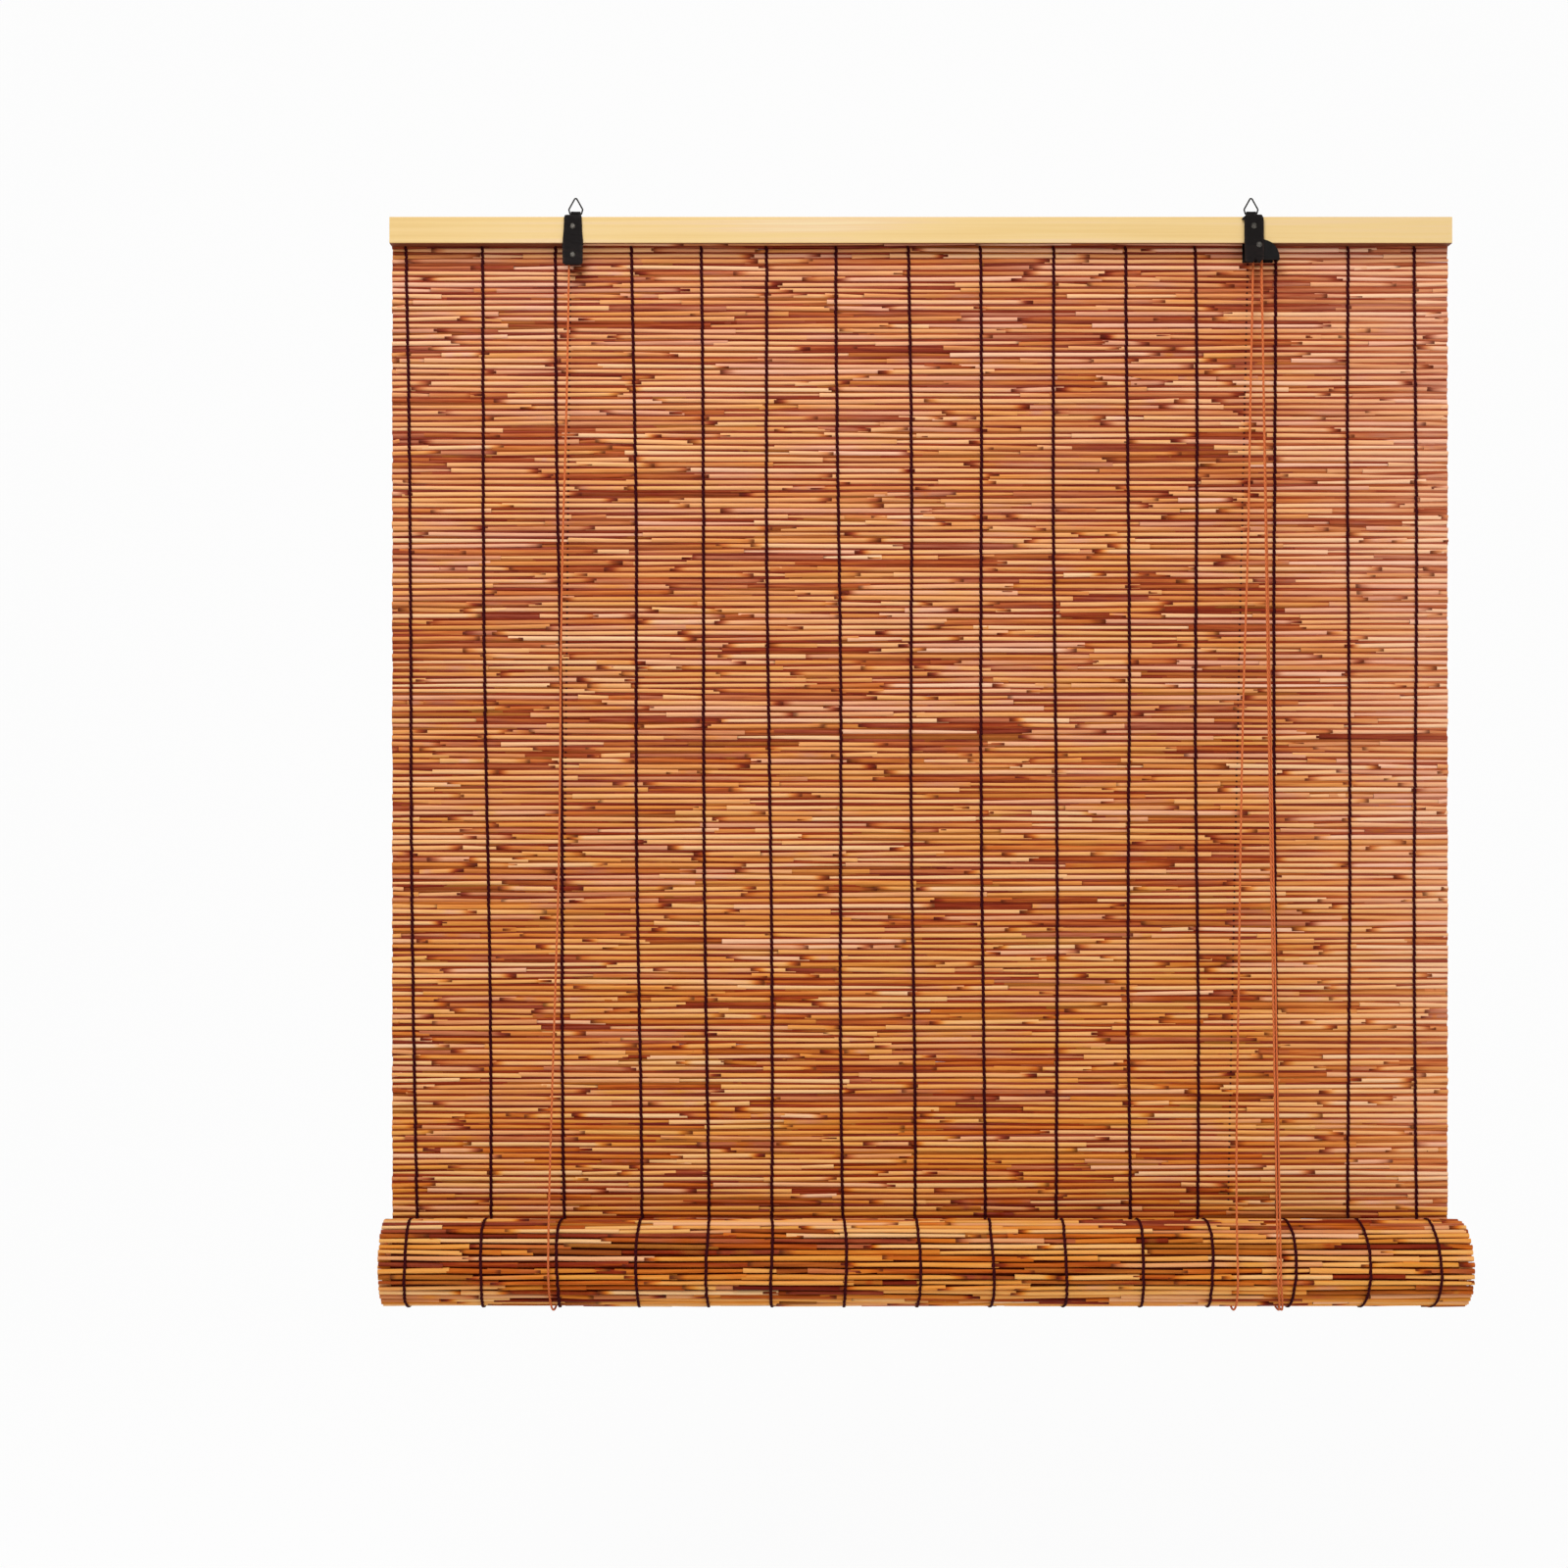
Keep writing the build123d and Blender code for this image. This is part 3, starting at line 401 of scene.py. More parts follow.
def baked_enamel():
    """Pressed steel in black baked enamel: even and half matt, with wear where things rub."""
    material, tree = new_material("black_baked_enamel_steel")
    # Patches of wear 4 mm across
    wear = stretched_noise(tree, (260.0, 260.0, 260.0), detail=4.0)
    colour = ramp(tree, wear, (0.3, "#0A0807"), (0.62, "#120F0E"), (0.8, "#2C2522"))
    gloss = spread(tree, wear, (0.0, 1.0), (0.35, 0.6))
    return finish_material(material, colour, gloss, specular=0.18)


def zinc_steel():
    """Zinc-plated steel wire and rivets: dull grey metal with a mottled bloom."""
    material, tree = new_material("dull_zinc_plated_steel")
    # Spangles 2 mm across
    bloom = stretched_noise(tree, (500.0, 500.0, 500.0))
    colour = ramp(tree, bloom, (0.3, "#4C4844"), (0.7, "#7E7972"))
    gloss = spread(tree, bloom, (0.0, 1.0), (0.3, 0.5))
    return finish_material(material, colour, gloss, metallic=1.0)


def blackened_wire():
    """Steel wire with a burnt-oil finish: black and nearly matt, as on hanging rings."""
    material, tree = new_material("oil_blackened_wire")
    bloom = stretched_noise(tree, (600.0, 600.0, 600.0), detail=2.0)
    colour = ramp(tree, bloom, (0.3, "#0C0908"), (0.75, "#1E1917"))
    return finish_material(material, colour, 0.5, specular=0.2)


def waxed_hardwood(name, light, dark):
    """Stained and waxed hardwood: fine grain and a soft shine."""
    material, tree = new_material(name)
    # Grain 1.4 mm apart and 17 mm long
    grain = stretched_noise(tree, (700.0, 700.0, 60.0), detail=4.0)
    colour = ramp(tree, grain, (0.3, dark), (0.7, light))
    return finish_material(material, colour, 0.36, relief=(grain, 0.15, 0.0003))


def pale_backdrop():
    """Matt white paper sweep: white to the camera, and it keeps the blind's shadow."""
    material, tree = new_material("white_paper_sweep")
    paper = add_node(tree, "ShaderNodeBsdfDiffuse", {"Color": from_hex("#FAFAF9")})
    white = {"Color": from_hex("#FFFFFF"), "Strength": 1.0}
    glow = add_node(tree, "ShaderNodeEmission", white).outputs["Emission"]
    rays = add_node(tree, "ShaderNodeLightPath").outputs
    seen = maths(tree, "MAXIMUM", rays["Is Camera Ray"], rays["Is Glossy Ray"])
    inputs = {0: maths(tree, "MULTIPLY", seen, 0.95), 1: paper.outputs["BSDF"], 2: glow}
    mixed = add_node(tree, "ShaderNodeMixShader", inputs)
    add_node(tree, "ShaderNodeOutputMaterial", {"Surface": mixed.outputs["Shader"]})
    return material


def new_tree(name, inputs):
    """A Geometry Nodes tree with these named inputs, as (tree, the sockets of its inputs)."""
    tree = bpy.data.node_groups.new(name, "GeometryNodeTree")
    for label, kind in {"Geometry": "Geometry", **inputs, "Material": "Material"}.items():
        tree.interface.new_socket(label, in_out="INPUT", socket_type=f"NodeSocket{kind}")
    tree.interface.new_socket("Geometry", in_out="OUTPUT", socket_type="NodeSocketGeometry")
    return tree, add_node(tree, "NodeGroupInput").outputs


def finish_tree(tree, group, geometry, smooth=True):
    """Ends a tree in real geometry with its material. smooth picks the faces shaded smooth."""
    real = add_node(tree, "GeometryNodeRealizeInstances", {"Geometry": geometry})
    inputs = {"Geometry": real.outputs["Geometry"], "Selection": smooth}
    shaded = add_node(tree, "GeometryNodeSetShadeSmooth", inputs)
    inputs = {"Geometry": shaded.outputs["Geometry"], "Material": group["Material"]}
    dressed = add_node(tree, "GeometryNodeSetMaterial", inputs)
    add_node(tree, "NodeGroupOutput", {"Geometry": dressed.outputs["Geometry"]})
    return tree


def named(tree, name, kind="FLOAT"):
    """The socket of a named attribute."""
    inputs = {"Name": name}
    return add_node(tree, "GeometryNodeInputNamedAttribute", inputs, data_type=kind).outputs[0]


def stored(tree, geometry, name, value):
    """Geometry that keeps a value on its points under a name."""
    return add_node(
        tree,
        "GeometryNodeStoreNamedAttribute",
        {"Geometry": geometry, "Name": name, "Value": value},
        data_type="FLOAT",
        domain="POINT",
    ).outputs["Geometry"]


def split_lines(tree, group, mode, amount):
    """The lines of the seed mesh as curves, split by COUNT or by LENGTH."""
    lines = add_node(tree, "GeometryNodeMeshToCurve", {"Mesh": group["Geometry"]})
    inputs = {"Curve": lines.outputs["Curve"], mode.title(): amount}
    return add_node(tree, "GeometryNodeResampleCurve", inputs, mode=mode).outputs["Curve"]


def circle(tree, sides, radius):
    """A round profile."""
    inputs = {"Resolution": sides, "Radius": radius}
    made = add_node(tree, "GeometryNodeCurvePrimitiveCircle", inputs, mode="RADIUS")
    return made.outputs["Curve"]


def swept(tree, curve, profile, scale=1.0):
    """The closed tube that a profile makes along a curve."""
    inputs = {"Curve": curve, "Profile Curve": profile, "Scale": scale, "Fill Caps": True}
    return add_node(tree, "GeometryNodeCurveToMesh", inputs).outputs["Mesh"]


def moved(tree, geometry, offset):
    """Geometry whose points are moved by a field."""
    inputs = {"Geometry": geometry, "Offset": offset}
    return add_node(tree, "GeometryNodeSetPosition", inputs).outputs["Geometry"]


def surface_normal(tree):
    """The field of the surface's normal."""
    return add_node(tree, "GeometryNodeInputNormal").outputs["Normal"]


@cache
def reed_tree():
    """Grows a round, slightly bent reed along each line of the seed mesh, butt first."""
    inputs = {"Points": "Int", "Sides": "Int", "Seed": "Int"}
    inputs.update({"Bend": "Float", "Bend length": "Float"})
    tree, group = new_tree("reeds_on_lines", inputs)
    lines = split_lines(tree, group, "COUNT", group["Points"])
    # Each reed bends in its own way, by noise that runs along X and differs from reed to reed
    noise = add_node(
        tree,
        "ShaderNodeTexNoise",
        {
            "Vector": add_node(tree, "GeometryNodeInputPosition").outputs["Position"],
            "W": maths(tree, "ADD", named(tree, "reed"), group["Seed"]),
            "Scale": maths(tree, "DIVIDE", 1.0, group["Bend length"]),
            "Detail": 1.0,
        },
        noise_dimensions="4D",
    )
    centred = vectors(tree, "SUBTRACT", noise.outputs["Color"], (0.5, 0.5, 0.5))
    across = vectors(tree, "MULTIPLY", centred, (0.0, 0.5, 2.0))
    bent = moved(tree, lines, vectors(tree, "SCALE", across, group["Bend"]))
    reeds = swept(tree, bent, circle(tree, group["Sides"], 1.0), named(tree, "thickness"))
    # The cut ends, which face along X, stay flat
    along = maths(tree, "ABSOLUTE", parts(tree, surface_normal(tree))["X"])
    return finish_tree(tree, group, reeds, maths(tree, "LESS_THAN", along, 0.8))


@cache
def stitch_tree():
    """Puts a lens of twined thread on each point of the seed mesh, turned by its attribute."""
    sizes = {"X": "Width", "Y": "Height", "Z": "Length"}
    tree, group = new_tree("stitches_on_points", dict.fromkeys(sizes.values(), "Float"))
    lens = add_node(tree, "GeometryNodeMeshUVSphere", {"Segments": 6, "Rings": 4, "Radius": 0.5})
    size = {axis: group[label] for axis, label in sizes.items()}
    turn = {"Euler": named(tree, "turn", "FLOAT_VECTOR")}
    placed = add_node(
        tree,
        "GeometryNodeInstanceOnPoints",
        {
            "Points": group["Geometry"],
            "Instance": lens.outputs["Mesh"],
            "Rotation": add_node(tree, "FunctionNodeEulerToRotation", turn).outputs["Rotation"],
            "Scale": add_node(tree, "ShaderNodeCombineXYZ", size).outputs["Vector"],
        },
    )
    return finish_tree(tree, group, placed.outputs["Instances"])


@cache
def cord_tree():
    """Grows a twisted cord along the line of the seed mesh, its strands as turning ridges."""
    numbers = ("Radius", "Step", "Strands", "Twist length", "Groove")
    inputs = {"Sides": "Int", **dict.fromkeys(numbers, "Float")}
    tree, group = new_tree("twisted_cord_on_line", inputs)
    line = split_lines(tree, group, "LENGTH", group["Step"])
    reached = add_node(tree, "GeometryNodeSplineParameter").outputs
    line = stored(tree, line, "along", reached["Length"])
    profile = circle(tree, group["Sides"], group["Radius"])
    profile = stored(tree, profile, "around", reached["Factor"])
    tube = swept(tree, line, profile)
    turns = maths(tree, "DIVIDE", named(tree, "along"), group["Twist length"])
    strands = maths(tree, "MULTIPLY", named(tree, "around"), group["Strands"])
    angle = maths(tree, "MULTIPLY", maths(tree, "ADD", turns, strands), 2 * math.pi)
    ridge = maths(tree, "MULTIPLY_ADD", maths(tree, "COSINE", angle), 0.5, 0.5)
    tube = stored(tree, tube, "ridge", ridge)
    depth = maths(tree, "MULTIPLY", maths(tree, "SUBTRACT", ridge, 1.0), group["Groove"])
    grooved = moved(tree, tube, vectors(tree, "SCALE", surface_normal(tree), depth))
    return finish_tree(tree, group, grooved)


def place(name, mesh, body, *replaced):
    """Puts a finished mesh in the scene as a piece on a body, in place of these CAD nodes."""
    piece = bpy.data.objects.new(name, mesh)
    bpy.context.scene.collection.objects.link(piece)
    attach(piece, body)
    if replaced:
        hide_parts(*replaced)
    return piece


def grow(tree, seed_mesh, values):
    """The plain mesh that a Geometry Nodes tree grows from a seed mesh with these inputs."""
    scaffold = bpy.data.objects.new("scaffold", seed_mesh)
    bpy.context.scene.collection.objects.link(scaffold)
    modifier = scaffold.modifiers.new("grow", "NODES")
    modifier.node_group = tree
    for item in tree.interface.items_tree:
        if item.in_out == "INPUT" and item.name in values:
            modifier[item.identifier] = values[item.name]
    evaluated = scaffold.evaluated_get(bpy.context.evaluated_depsgraph_get())
    mesh = bpy.data.meshes.new_from_object(evaluated)
    bpy.data.objects.remove(scaffold)
    bpy.data.meshes.remove(seed_mesh)
    return mesh


def seed(points, edges=(), **attributes):
    """A mesh of bare points and lines with these attributes, for a tree to grow from."""
    mesh = bpy.data.meshes.new("seed")
    mesh.from_pydata(points, edges, [])
    for name, values in attributes.items():
        if isinstance(values[0], float):
            layer = mesh.attributes.new(name, "FLOAT", "POINT")
            layer.data.foreach_set("value", values)
        else:
            layer = mesh.attributes.new(name, "FLOAT_VECTOR", "POINT")
            layer.data.foreach_set("vector", [v for row in values for v in row])
    return mesh


def squash_with_roll(piece):
    """Gives a hanging piece a mesh of its own."""
    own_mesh(piece)


def on_roll(angle, radius):
    """A point in the roll's section. Angle 0 is at its rear, where the hanging mat ends."""
    return roll_y + radius * math.cos(angle), roll_z - radius * math.sin(angle)


def turn_crest(angle):
    """How far the crests of the roll's winding lie from its middle."""
    return roll_radius - turn_pitch * angle / (2 * math.pi)


def spline_points(route):
    """Points along the smooth line that a route's control points give, a millimetre or so apart."""
    curve = bpy.data.curves.new("route", "CURVE")
    curve.dimensions = "3D"
    spline = curve.splines.new("NURBS")
    spline.points.add(len(route) - 1)
    for point, control in zip(spline.points, route):
        point.co = (*control, 1.0)
    spline.order_u = 3
    spline.use_endpoint_u = True
    curve.resolution_u = 24
    carrier = bpy.data.objects.new("route", curve)
    bpy.context.scene.collection.objects.link(carrier)
    evaluated = carrier.evaluated_get(bpy.context.evaluated_depsgraph_get())
    line = bpy.data.meshes.new_from_object(evaluated)
    points = [vertex.co.copy() for vertex in line.vertices]
    bpy.data.objects.remove(carrier)
    bpy.data.meshes.remove(line)
    return points


def cord_piece(name, points, settings, body, *replaced):
    """A twisted cord along these points, on a body."""
    edges = [(i, i + 1) for i in range(len(points) - 1)]
    values = {
        "Radius": settings.diameter / 2,
        "Step": settings.twist_length / 6,
        "Sides": 12,
        "Strands": 3.0,
        "Twist length": settings.twist_length,
        "Groove": settings.groove,
        "Material": twisted_cotton("twisted_terracotta_cotton", "#E67E4A", "#AE4A22"),
    }
    return place(name, grow(cord_tree(), seed(points, edges), values), body, *replaced)


def stitch_piece(name, points, turns, sizes, body, replaced):
    """A piece of thread stitches of one size, each at a point and turned about its axes."""
    thread = twisted_cotton("waxed_maroon_cotton_twine", "#6A2028", "#380C12")
    mesh = grow(stitch_tree(), seed(points, turn=turns), {**sizes, "Material": thread})
    return place(name, mesh, body, replaced)


def mat_rows(pitch):
    """The hanging mat's number of rows, their exact pitch, and how many are in the head."""
    height = mat_high.z - mat_low.z
    count = round(height / pitch)
    return count, height / count, math.ceil((mat_high.z - batten_low.z) / pitch)


def metres(name, description, default, low, high):
    """A length in metres that a user can change."""
    return bpy.props.FloatProperty(
        name=name, description=description, default=default, min=low, max=high, unit="LENGTH"
    )


def factor(name, description, default, high):
    """A share that a user can change."""
    return bpy.props.FloatProperty(
        name=name, description=description, default=default, min=0.0, max=high, subtype="FACTOR"
    )


def watts(name, description, default):
    """A lamp's power that a user can change."""
    return bpy.props.FloatProperty(
        name=name, description=description, default=default, min=0.0, unit="POWER"
    )


class ReedSettings(bpy.types.PropertyGroup):
    """Sizes of the reeds that the mat is made of."""

    pitch: metres("Reed pitch", "Height that one reed takes in the mat", 0.0055, 0.003, 0.012)
    thickness: metres(
        "Reed thickness", "Thickness of a reed at its butt", mat_thickness, 0.002, 0.012
    )
    shortest: metres(
        "Shortest reed", "Shortest piece of reed between two joins in a row", 0.04, 0.02, 0.5
    )
    longest: metres(
        "Longest reed", "Longest piece of reed between two joins in a row", 0.23, 0.05, 1.0
    )
    bend: metres("Bend", "How far a reed strays from a straight line", 0.0011, 0.0, 0.004)
    dark_share: factor("Dark reeds", "Share of the reeds that took the stain dark", 0.19, 1.0)
    seed: bpy.props.IntProperty(
        name="Seed", description="Which arrangement of reeds is made", default=11, min=0
    )


class ThreadSettings(bpy.types.PropertyGroup):
    """Sizes of the warp threads that hold the reeds."""

    count: bpy.props.IntProperty(
        name="Threads", description="Warp threads across the mat", default=15, min=2, max=40
    )
    width: metres("Thread width", "Width of a twined pair of threads", 0.0031, 0.0005, 0.005)
    height: metres(
        "Thread height", "How far a twined pair stands off a reed", 0.0015, 0.0003, 0.003
    )


class CordSettings(bpy.types.PropertyGroup):
    """Sizes of the lift cords and the pull cords."""

    diameter: metres("Cord diameter", "Diameter over the strands", 0.0021, 0.001, 0.006)
    twist_length: metres(
        "Twist length",
        "Length of cord in which a strand reaches its neighbour's place",
        0.0045,
        0.001,
        0.03,
    )
    groove: metres(
        "Groove depth", "How deep the crease between two strands is", 0.00028, 0.0, 0.001
    )


class StageSettings(bpy.types.PropertyGroup):
    """The floor, the backdrop and the studio light."""

    floor_gap: metres(
        "Floor below the roll", "Height of the roll above the floor", 0.42, 0.0, 2.0
    )
    key_power: watts("Key light", "Power of the main light", 54.0)
    fill_power: watts("Fill light", "Power of the fill light", 14.0)
    sky: factor("Room light", "Strength of the even light all round", 0.34, 2.0)


class BlindSettings(bpy.types.PropertyGroup):
    """All that a user can change on the blind."""

    reeds: bpy.props.PointerProperty(type=ReedSettings)
    threads: bpy.props.PointerProperty(type=ThreadSettings)
    cords: bpy.props.PointerProperty(type=CordSettings)
    stage: bpy.props.PointerProperty(type=StageSettings)


class BLIND_OT_camera(bpy.types.Operator):
    """Sets the camera at the photograph's view: level, square to the mat and left of its middle"""

    bl_idname = "blind.camera"
    bl_label = "Camera"

    def execute(self, context):
        camera = bpy.data.cameras.new("camera")
        camera.lens = 50.0
        camera.sensor_width = 36.0
        camera.clip_end = 20.0
        holder = bpy.data.objects.new("camera", camera)
        holder.location = (-0.1287, -2.0636, -0.55395)
        holder.rotation_euler = (math.pi / 2, 0.0, 0.0)
        context.scene.collection.objects.link(holder)
        context.scene.camera = holder
        return {"FINISHED"}


class BLIND_OT_lift_cords(bpy.types.Operator):
    """Makes the two lift cords: down behind the mat, under the roll, up in front, into the head"""

    bl_idname = "blind.lift_cords"
    bl_label = "Lift cords"

    glimpse_y = -0.0014
    glimpse_top = batten_low.z - 0.006
    glimpse_size = {"Width": 0.0026, "Height": 0.0012, "Length": 0.0019}

    def execute(self, context):
        settings = context.scene.blind.cords
        routes = (
            ("left", LEFT_LIFT_BACK, LEFT_LIFT_UNDER, LEFT_LIFT_FRONT, LEFT_LIFT_HEAD),
            ("right", RIGHT_LIFT_BACK, RIGHT_LIFT_UNDER, RIGHT_LIFT_FRONT, RIGHT_LIFT_HEAD),
        )
        for side, back, under, front, head in routes:
            points = spline_points(back + under + front + head)
            count = len(points)
            lowest = min(range(count), key=lambda i: points[i].z)
            rear = next(i for i in reversed(range(lowest)) if points[i].z > cord_foot_z)
            rise = next(i for i in range(lowest, count) if points[i].z > cord_foot_z)
            top = next(i for i in range(rise, count) if points[i].z > front[-1][2])
            fall = points[: rear + 1]
            stretches = (
                ("back", fall, "head"),
                ("under", points[rear : rise + 1], "roll"),
                ("front", points[rise : top + 1], "head"),
                ("head", points[top:], "head"),
            )
            node = f"{side}_lift_cord"
            for part, stretch, body in stretches:
                piece = cord_piece(f"{node}_{part}", stretch, settings, body, node)
                if part in ("back", "front"):
                    squash_with_roll(piece)
            self.glimpses(context.scene.blind.reeds, side, fall)
        return {"FINISHED"}

    def glimpses(self, reeds, side, fall):
        """The lift cord behind the mat, as it shows in the joint between each two reeds: dark
        lenses of twine, painted as the cord in shade.
        """
        count, pitch, _ = mat_rows(reeds.pitch)
        points = []
        for row in range(1, count - 1):
            z = mat_high.z - row * pitch
            above = sum(point.z >= z for point in fall)
            if z < self.glimpse_top and above < len(fall):
                points.append((fall[above].x, self.glimpse_y, z))
        turns = [(0.0, 0.0, 0.0)] * len(points)
        name = f"{side}_cord_in_painted_shade"
        replaced = f"{side}_lift_cord"
        piece = stitch_piece(name, points, turns, self.glimpse_size, "head", replaced)
        squash_with_roll(piece)


class BLIND_OT_pull_cords(bpy.types.Operator):
    """Makes the pull cords: from the lock down in front, under the roll, into a hank behind it"""

    bl_idname = "blind.pull_cords"
    bl_label = "Pull cords and hank"

    # The spare length of each strand, wound in the hank
    spare_turns = 15
    turn_points = 16
    layers = 3
    closeness = 1.02  # from one turn to the next, in diameters
    squareness = 2.2  # how soon a turn leaves its round ends for its straight sides
    crossing = 0.4  # of a turn, in which a strand crosses to the next layer
    tie_turns = 2
    tie_points = 72
    tie_roundness = 0.35  # towards 0 the tie's turns are square
    tie_inset = 0.4  # in diameters
    tie_pitch = 1.2  # in diameters, over both turns

    def winding(self, side, diameter):
        """The turns of one strand in the hank, as points from where the strand comes in."""
        middle = (hank_high + hank_low) / 2
        reach_x = (hank_high.x - hank_low.x) / 2 - diameter / 2
        reach_z = (hank_high.z - hank_low.z) / 2 - diameter / 2
        first_y = hank_low.y + diameter / 2 if side < 0 else hank_high.y - diameter / 2
        step = diameter * self.closeness
        rings = self.spare_turns // self.layers
        points = []
        for index in range(self.spare_turns * self.turn_points + 1):
            turn = index / self.turn_points
            layer = min(int(turn // rings), self.layers - 1)
            within = turn - layer * rings
            inward = within if layer % 2 == 0 else rings - within
            inset = step * min(inward, rings - 0.5)
            angle = -math.pi / 2 + 2 * math.pi * turn
            width = reach_x - inset
            rise = math.sin(angle)
            x = middle.x + width * math.cos(angle)
            straight = math.copysign(reach_z - inset - width, rise)
            z = middle.z + width * rise + straight * min(1.0, abs(rise) * self.squareness)
            drift = 0.0
            if layer < self.layers - 1:
                drift = min(1.0, max(0.0, (within - rings + self.crossing) / self.crossing))
            points.append((x, first_y - side * step * (layer + drift), z))
        return points

    def tie(self, settings):
        """The tie, which goes twice round the hank."""
        inset = settings.diameter * self.tie_inset
        inner_x = (tie_high.x - tie_low.x) / 2 - inset
        inner_y = (tie_high.y - tie_low.y) / 2 - inset
        middle = (tie_high + tie_low) / 2
        points = []
        for index in range(self.tie_points + 1):
            part = index / self.tie_points
            angle = 2 * math.pi * self.tie_turns * part
            across, deep = (
                math.copysign(abs(value) ** self.tie_roundness, value)
                for value in (math.cos(angle), math.sin(angle))
            )
            rise = (part - 0.5) * settings.diameter * self.tie_pitch
            points.append(middle + Vector((inner_x * across, inner_y * deep, rise)))
        cord_piece("hank_tie_cord", points, settings, "roll", "hank_tie")

    def execute(self, context):
        settings = context.scene.blind.cords
        sides = (
            ("left", -1, LEFT_PULL_FRONT, LEFT_PULL_UNDER),
            ("right", 1, RIGHT_PULL_FRONT, RIGHT_PULL_UNDER),
        )
        for name, side, front, under in sides:
            node = f"{name}_pull_cord"
            points = spline_points(front + under + self.winding(side, settings.diameter))
            foot = next(i for i, point in enumerate(points) if point.z < cord_foot_z)
            fall = points[: foot + 1]
            tail = points[foot:]
            falling = cord_piece(f"{node}_fall", fall, settings, "head", node)
            squash_with_roll(falling)
            spare = cord_piece(f"{node}_tail", tail, settings, "roll", node, "cord_hank")
        self.tie(settings)
        return {"FINISHED"}


# How the reeds in a row differ: ranges and choices are drawn evenly, spreads as (mean, deviation)
SHORTNESS = 1.5  # above 1 more of the reeds are short
DARK_LENGTH = 0.7  # of a dark reed, as a share of a light one's
SWAP_CHANCE = 0.12  # that a reed lies the other way round from the one before it
LEAST_LENGTH = 0.004
LIGHT_TONES = (0.64, 0.13)
DARK_SPREAD = 0.1
TIP_TONES = (0.25, 0.12)
BUTT_RANGE = (0.84, 1.0)  # of the thickness
TIP_RANGE = (0.62, 0.85)  # of the butt
LEAN_RANGE = (-0.12, 0.12)  # of the pitch
TIP_STEPS = (-0.0006, 0.0008, 0.0011)  # a tip lies behind the next butt or over it
OVERLAP_RANGE = (0.002, 0.016)
REED_MARKS = 40.0  # top of the range of marks, which tell reeds apart in bend and colour
NO_TIP = 0.02  # added to the distance from a tip that is cut off, so that it isn't dark


def reed_pieces(rows, settings, source, dark_share, dark_tone=0.33):
    """Lays reeds end to end along rows, as a seed mesh for reed_tree.

    A row is (y, z, the way out of the mat along y and z, low x, high x, whether it is a stub).
    A reed's butt is thick. Its tip is thin and rides over the next butt. Each has its own tones,
    and dark_tone is the mean of the dark ones.
    """
    points = []
    edges = []
    layers = {"thickness": [], "tone": [], "tip_tone": [], "to_tip": [], "reed": []}
    for y, z, out_y, out_z, low, high, stub in rows:
        x = low - source.uniform(0.0, settings.longest * 0.5)
        forward = source.random() < 0.5
        while x < high:
            dark = source.random() < dark_share
            longer = (settings.longest - settings.shortest) * source.random() ** SHORTNESS
            span = (settings.shortest + longer) * (DARK_LENGTH if dark else 1.0)
            if source.random() < SWAP_CHANCE:
                forward = not forward
            start = max(x, low)
            end = min(x + span, high)
            if end - start > LEAST_LENGTH:
                tone = source.gauss(*((dark_tone, DARK_SPREAD) if dark else LIGHT_TONES))
                butt = settings.thickness / 2 * source.uniform(*BUTT_RANGE)
                tip = butt * source.uniform(*TIP_RANGE)
                lean = settings.pitch * source.uniform(*LEAN_RANGE)
                over = source.choice(TIP_STEPS)
                tip_tone = min(tone, source.gauss(*TIP_TONES)) if over > 0 else tone
                mark = source.random() * REED_MARKS
                first, last = (start, end) if forward else (end, start)
                cut = (end >= high) if forward else (start <= low)
                beyond = NO_TIP if cut or stub else 0.0
                # The slope runs along the mat, square to the way out of it
                for place_x, radius, left, out, slope in (
                    (first, butt, end - start, 0.0, -lean),
                    (last, tip, 0.0, over, lean),
                ):
                    at_y = y + out_y * out - out_z * slope
                    points.append((place_x, at_y, z + out_z * out + out_y * slope))
                    values = {"thickness": radius, "to_tip": left + beyond, "reed": mark}
                    values["tone"] = min(max(tone, 0.0), 1.0)
                    values["tip_tone"] = min(max(tip_tone, 0.0), 1.0)
                    for name, value in values.items():
                        layers[name].append(float(value))
                edges.append((len(points) - 2, len(points) - 1))
            x += span - source.uniform(*OVERLAP_RANGE)
    return seed(points, edges, **layers)


def grow_reeds(seed_mesh, settings, points=7, sides=8, bend=1.0):
    """The mesh of reeds on a seed mesh. bend is the share of the usual bend that they have."""
    values = {
        "Points": points,
        "Sides": sides,
        "Bend": settings.bend * bend,
        "Bend length": 0.11,
        "Seed": settings.seed,
        "Material": stained_reed(),
    }
    return grow(reed_tree(), seed_mesh, values)


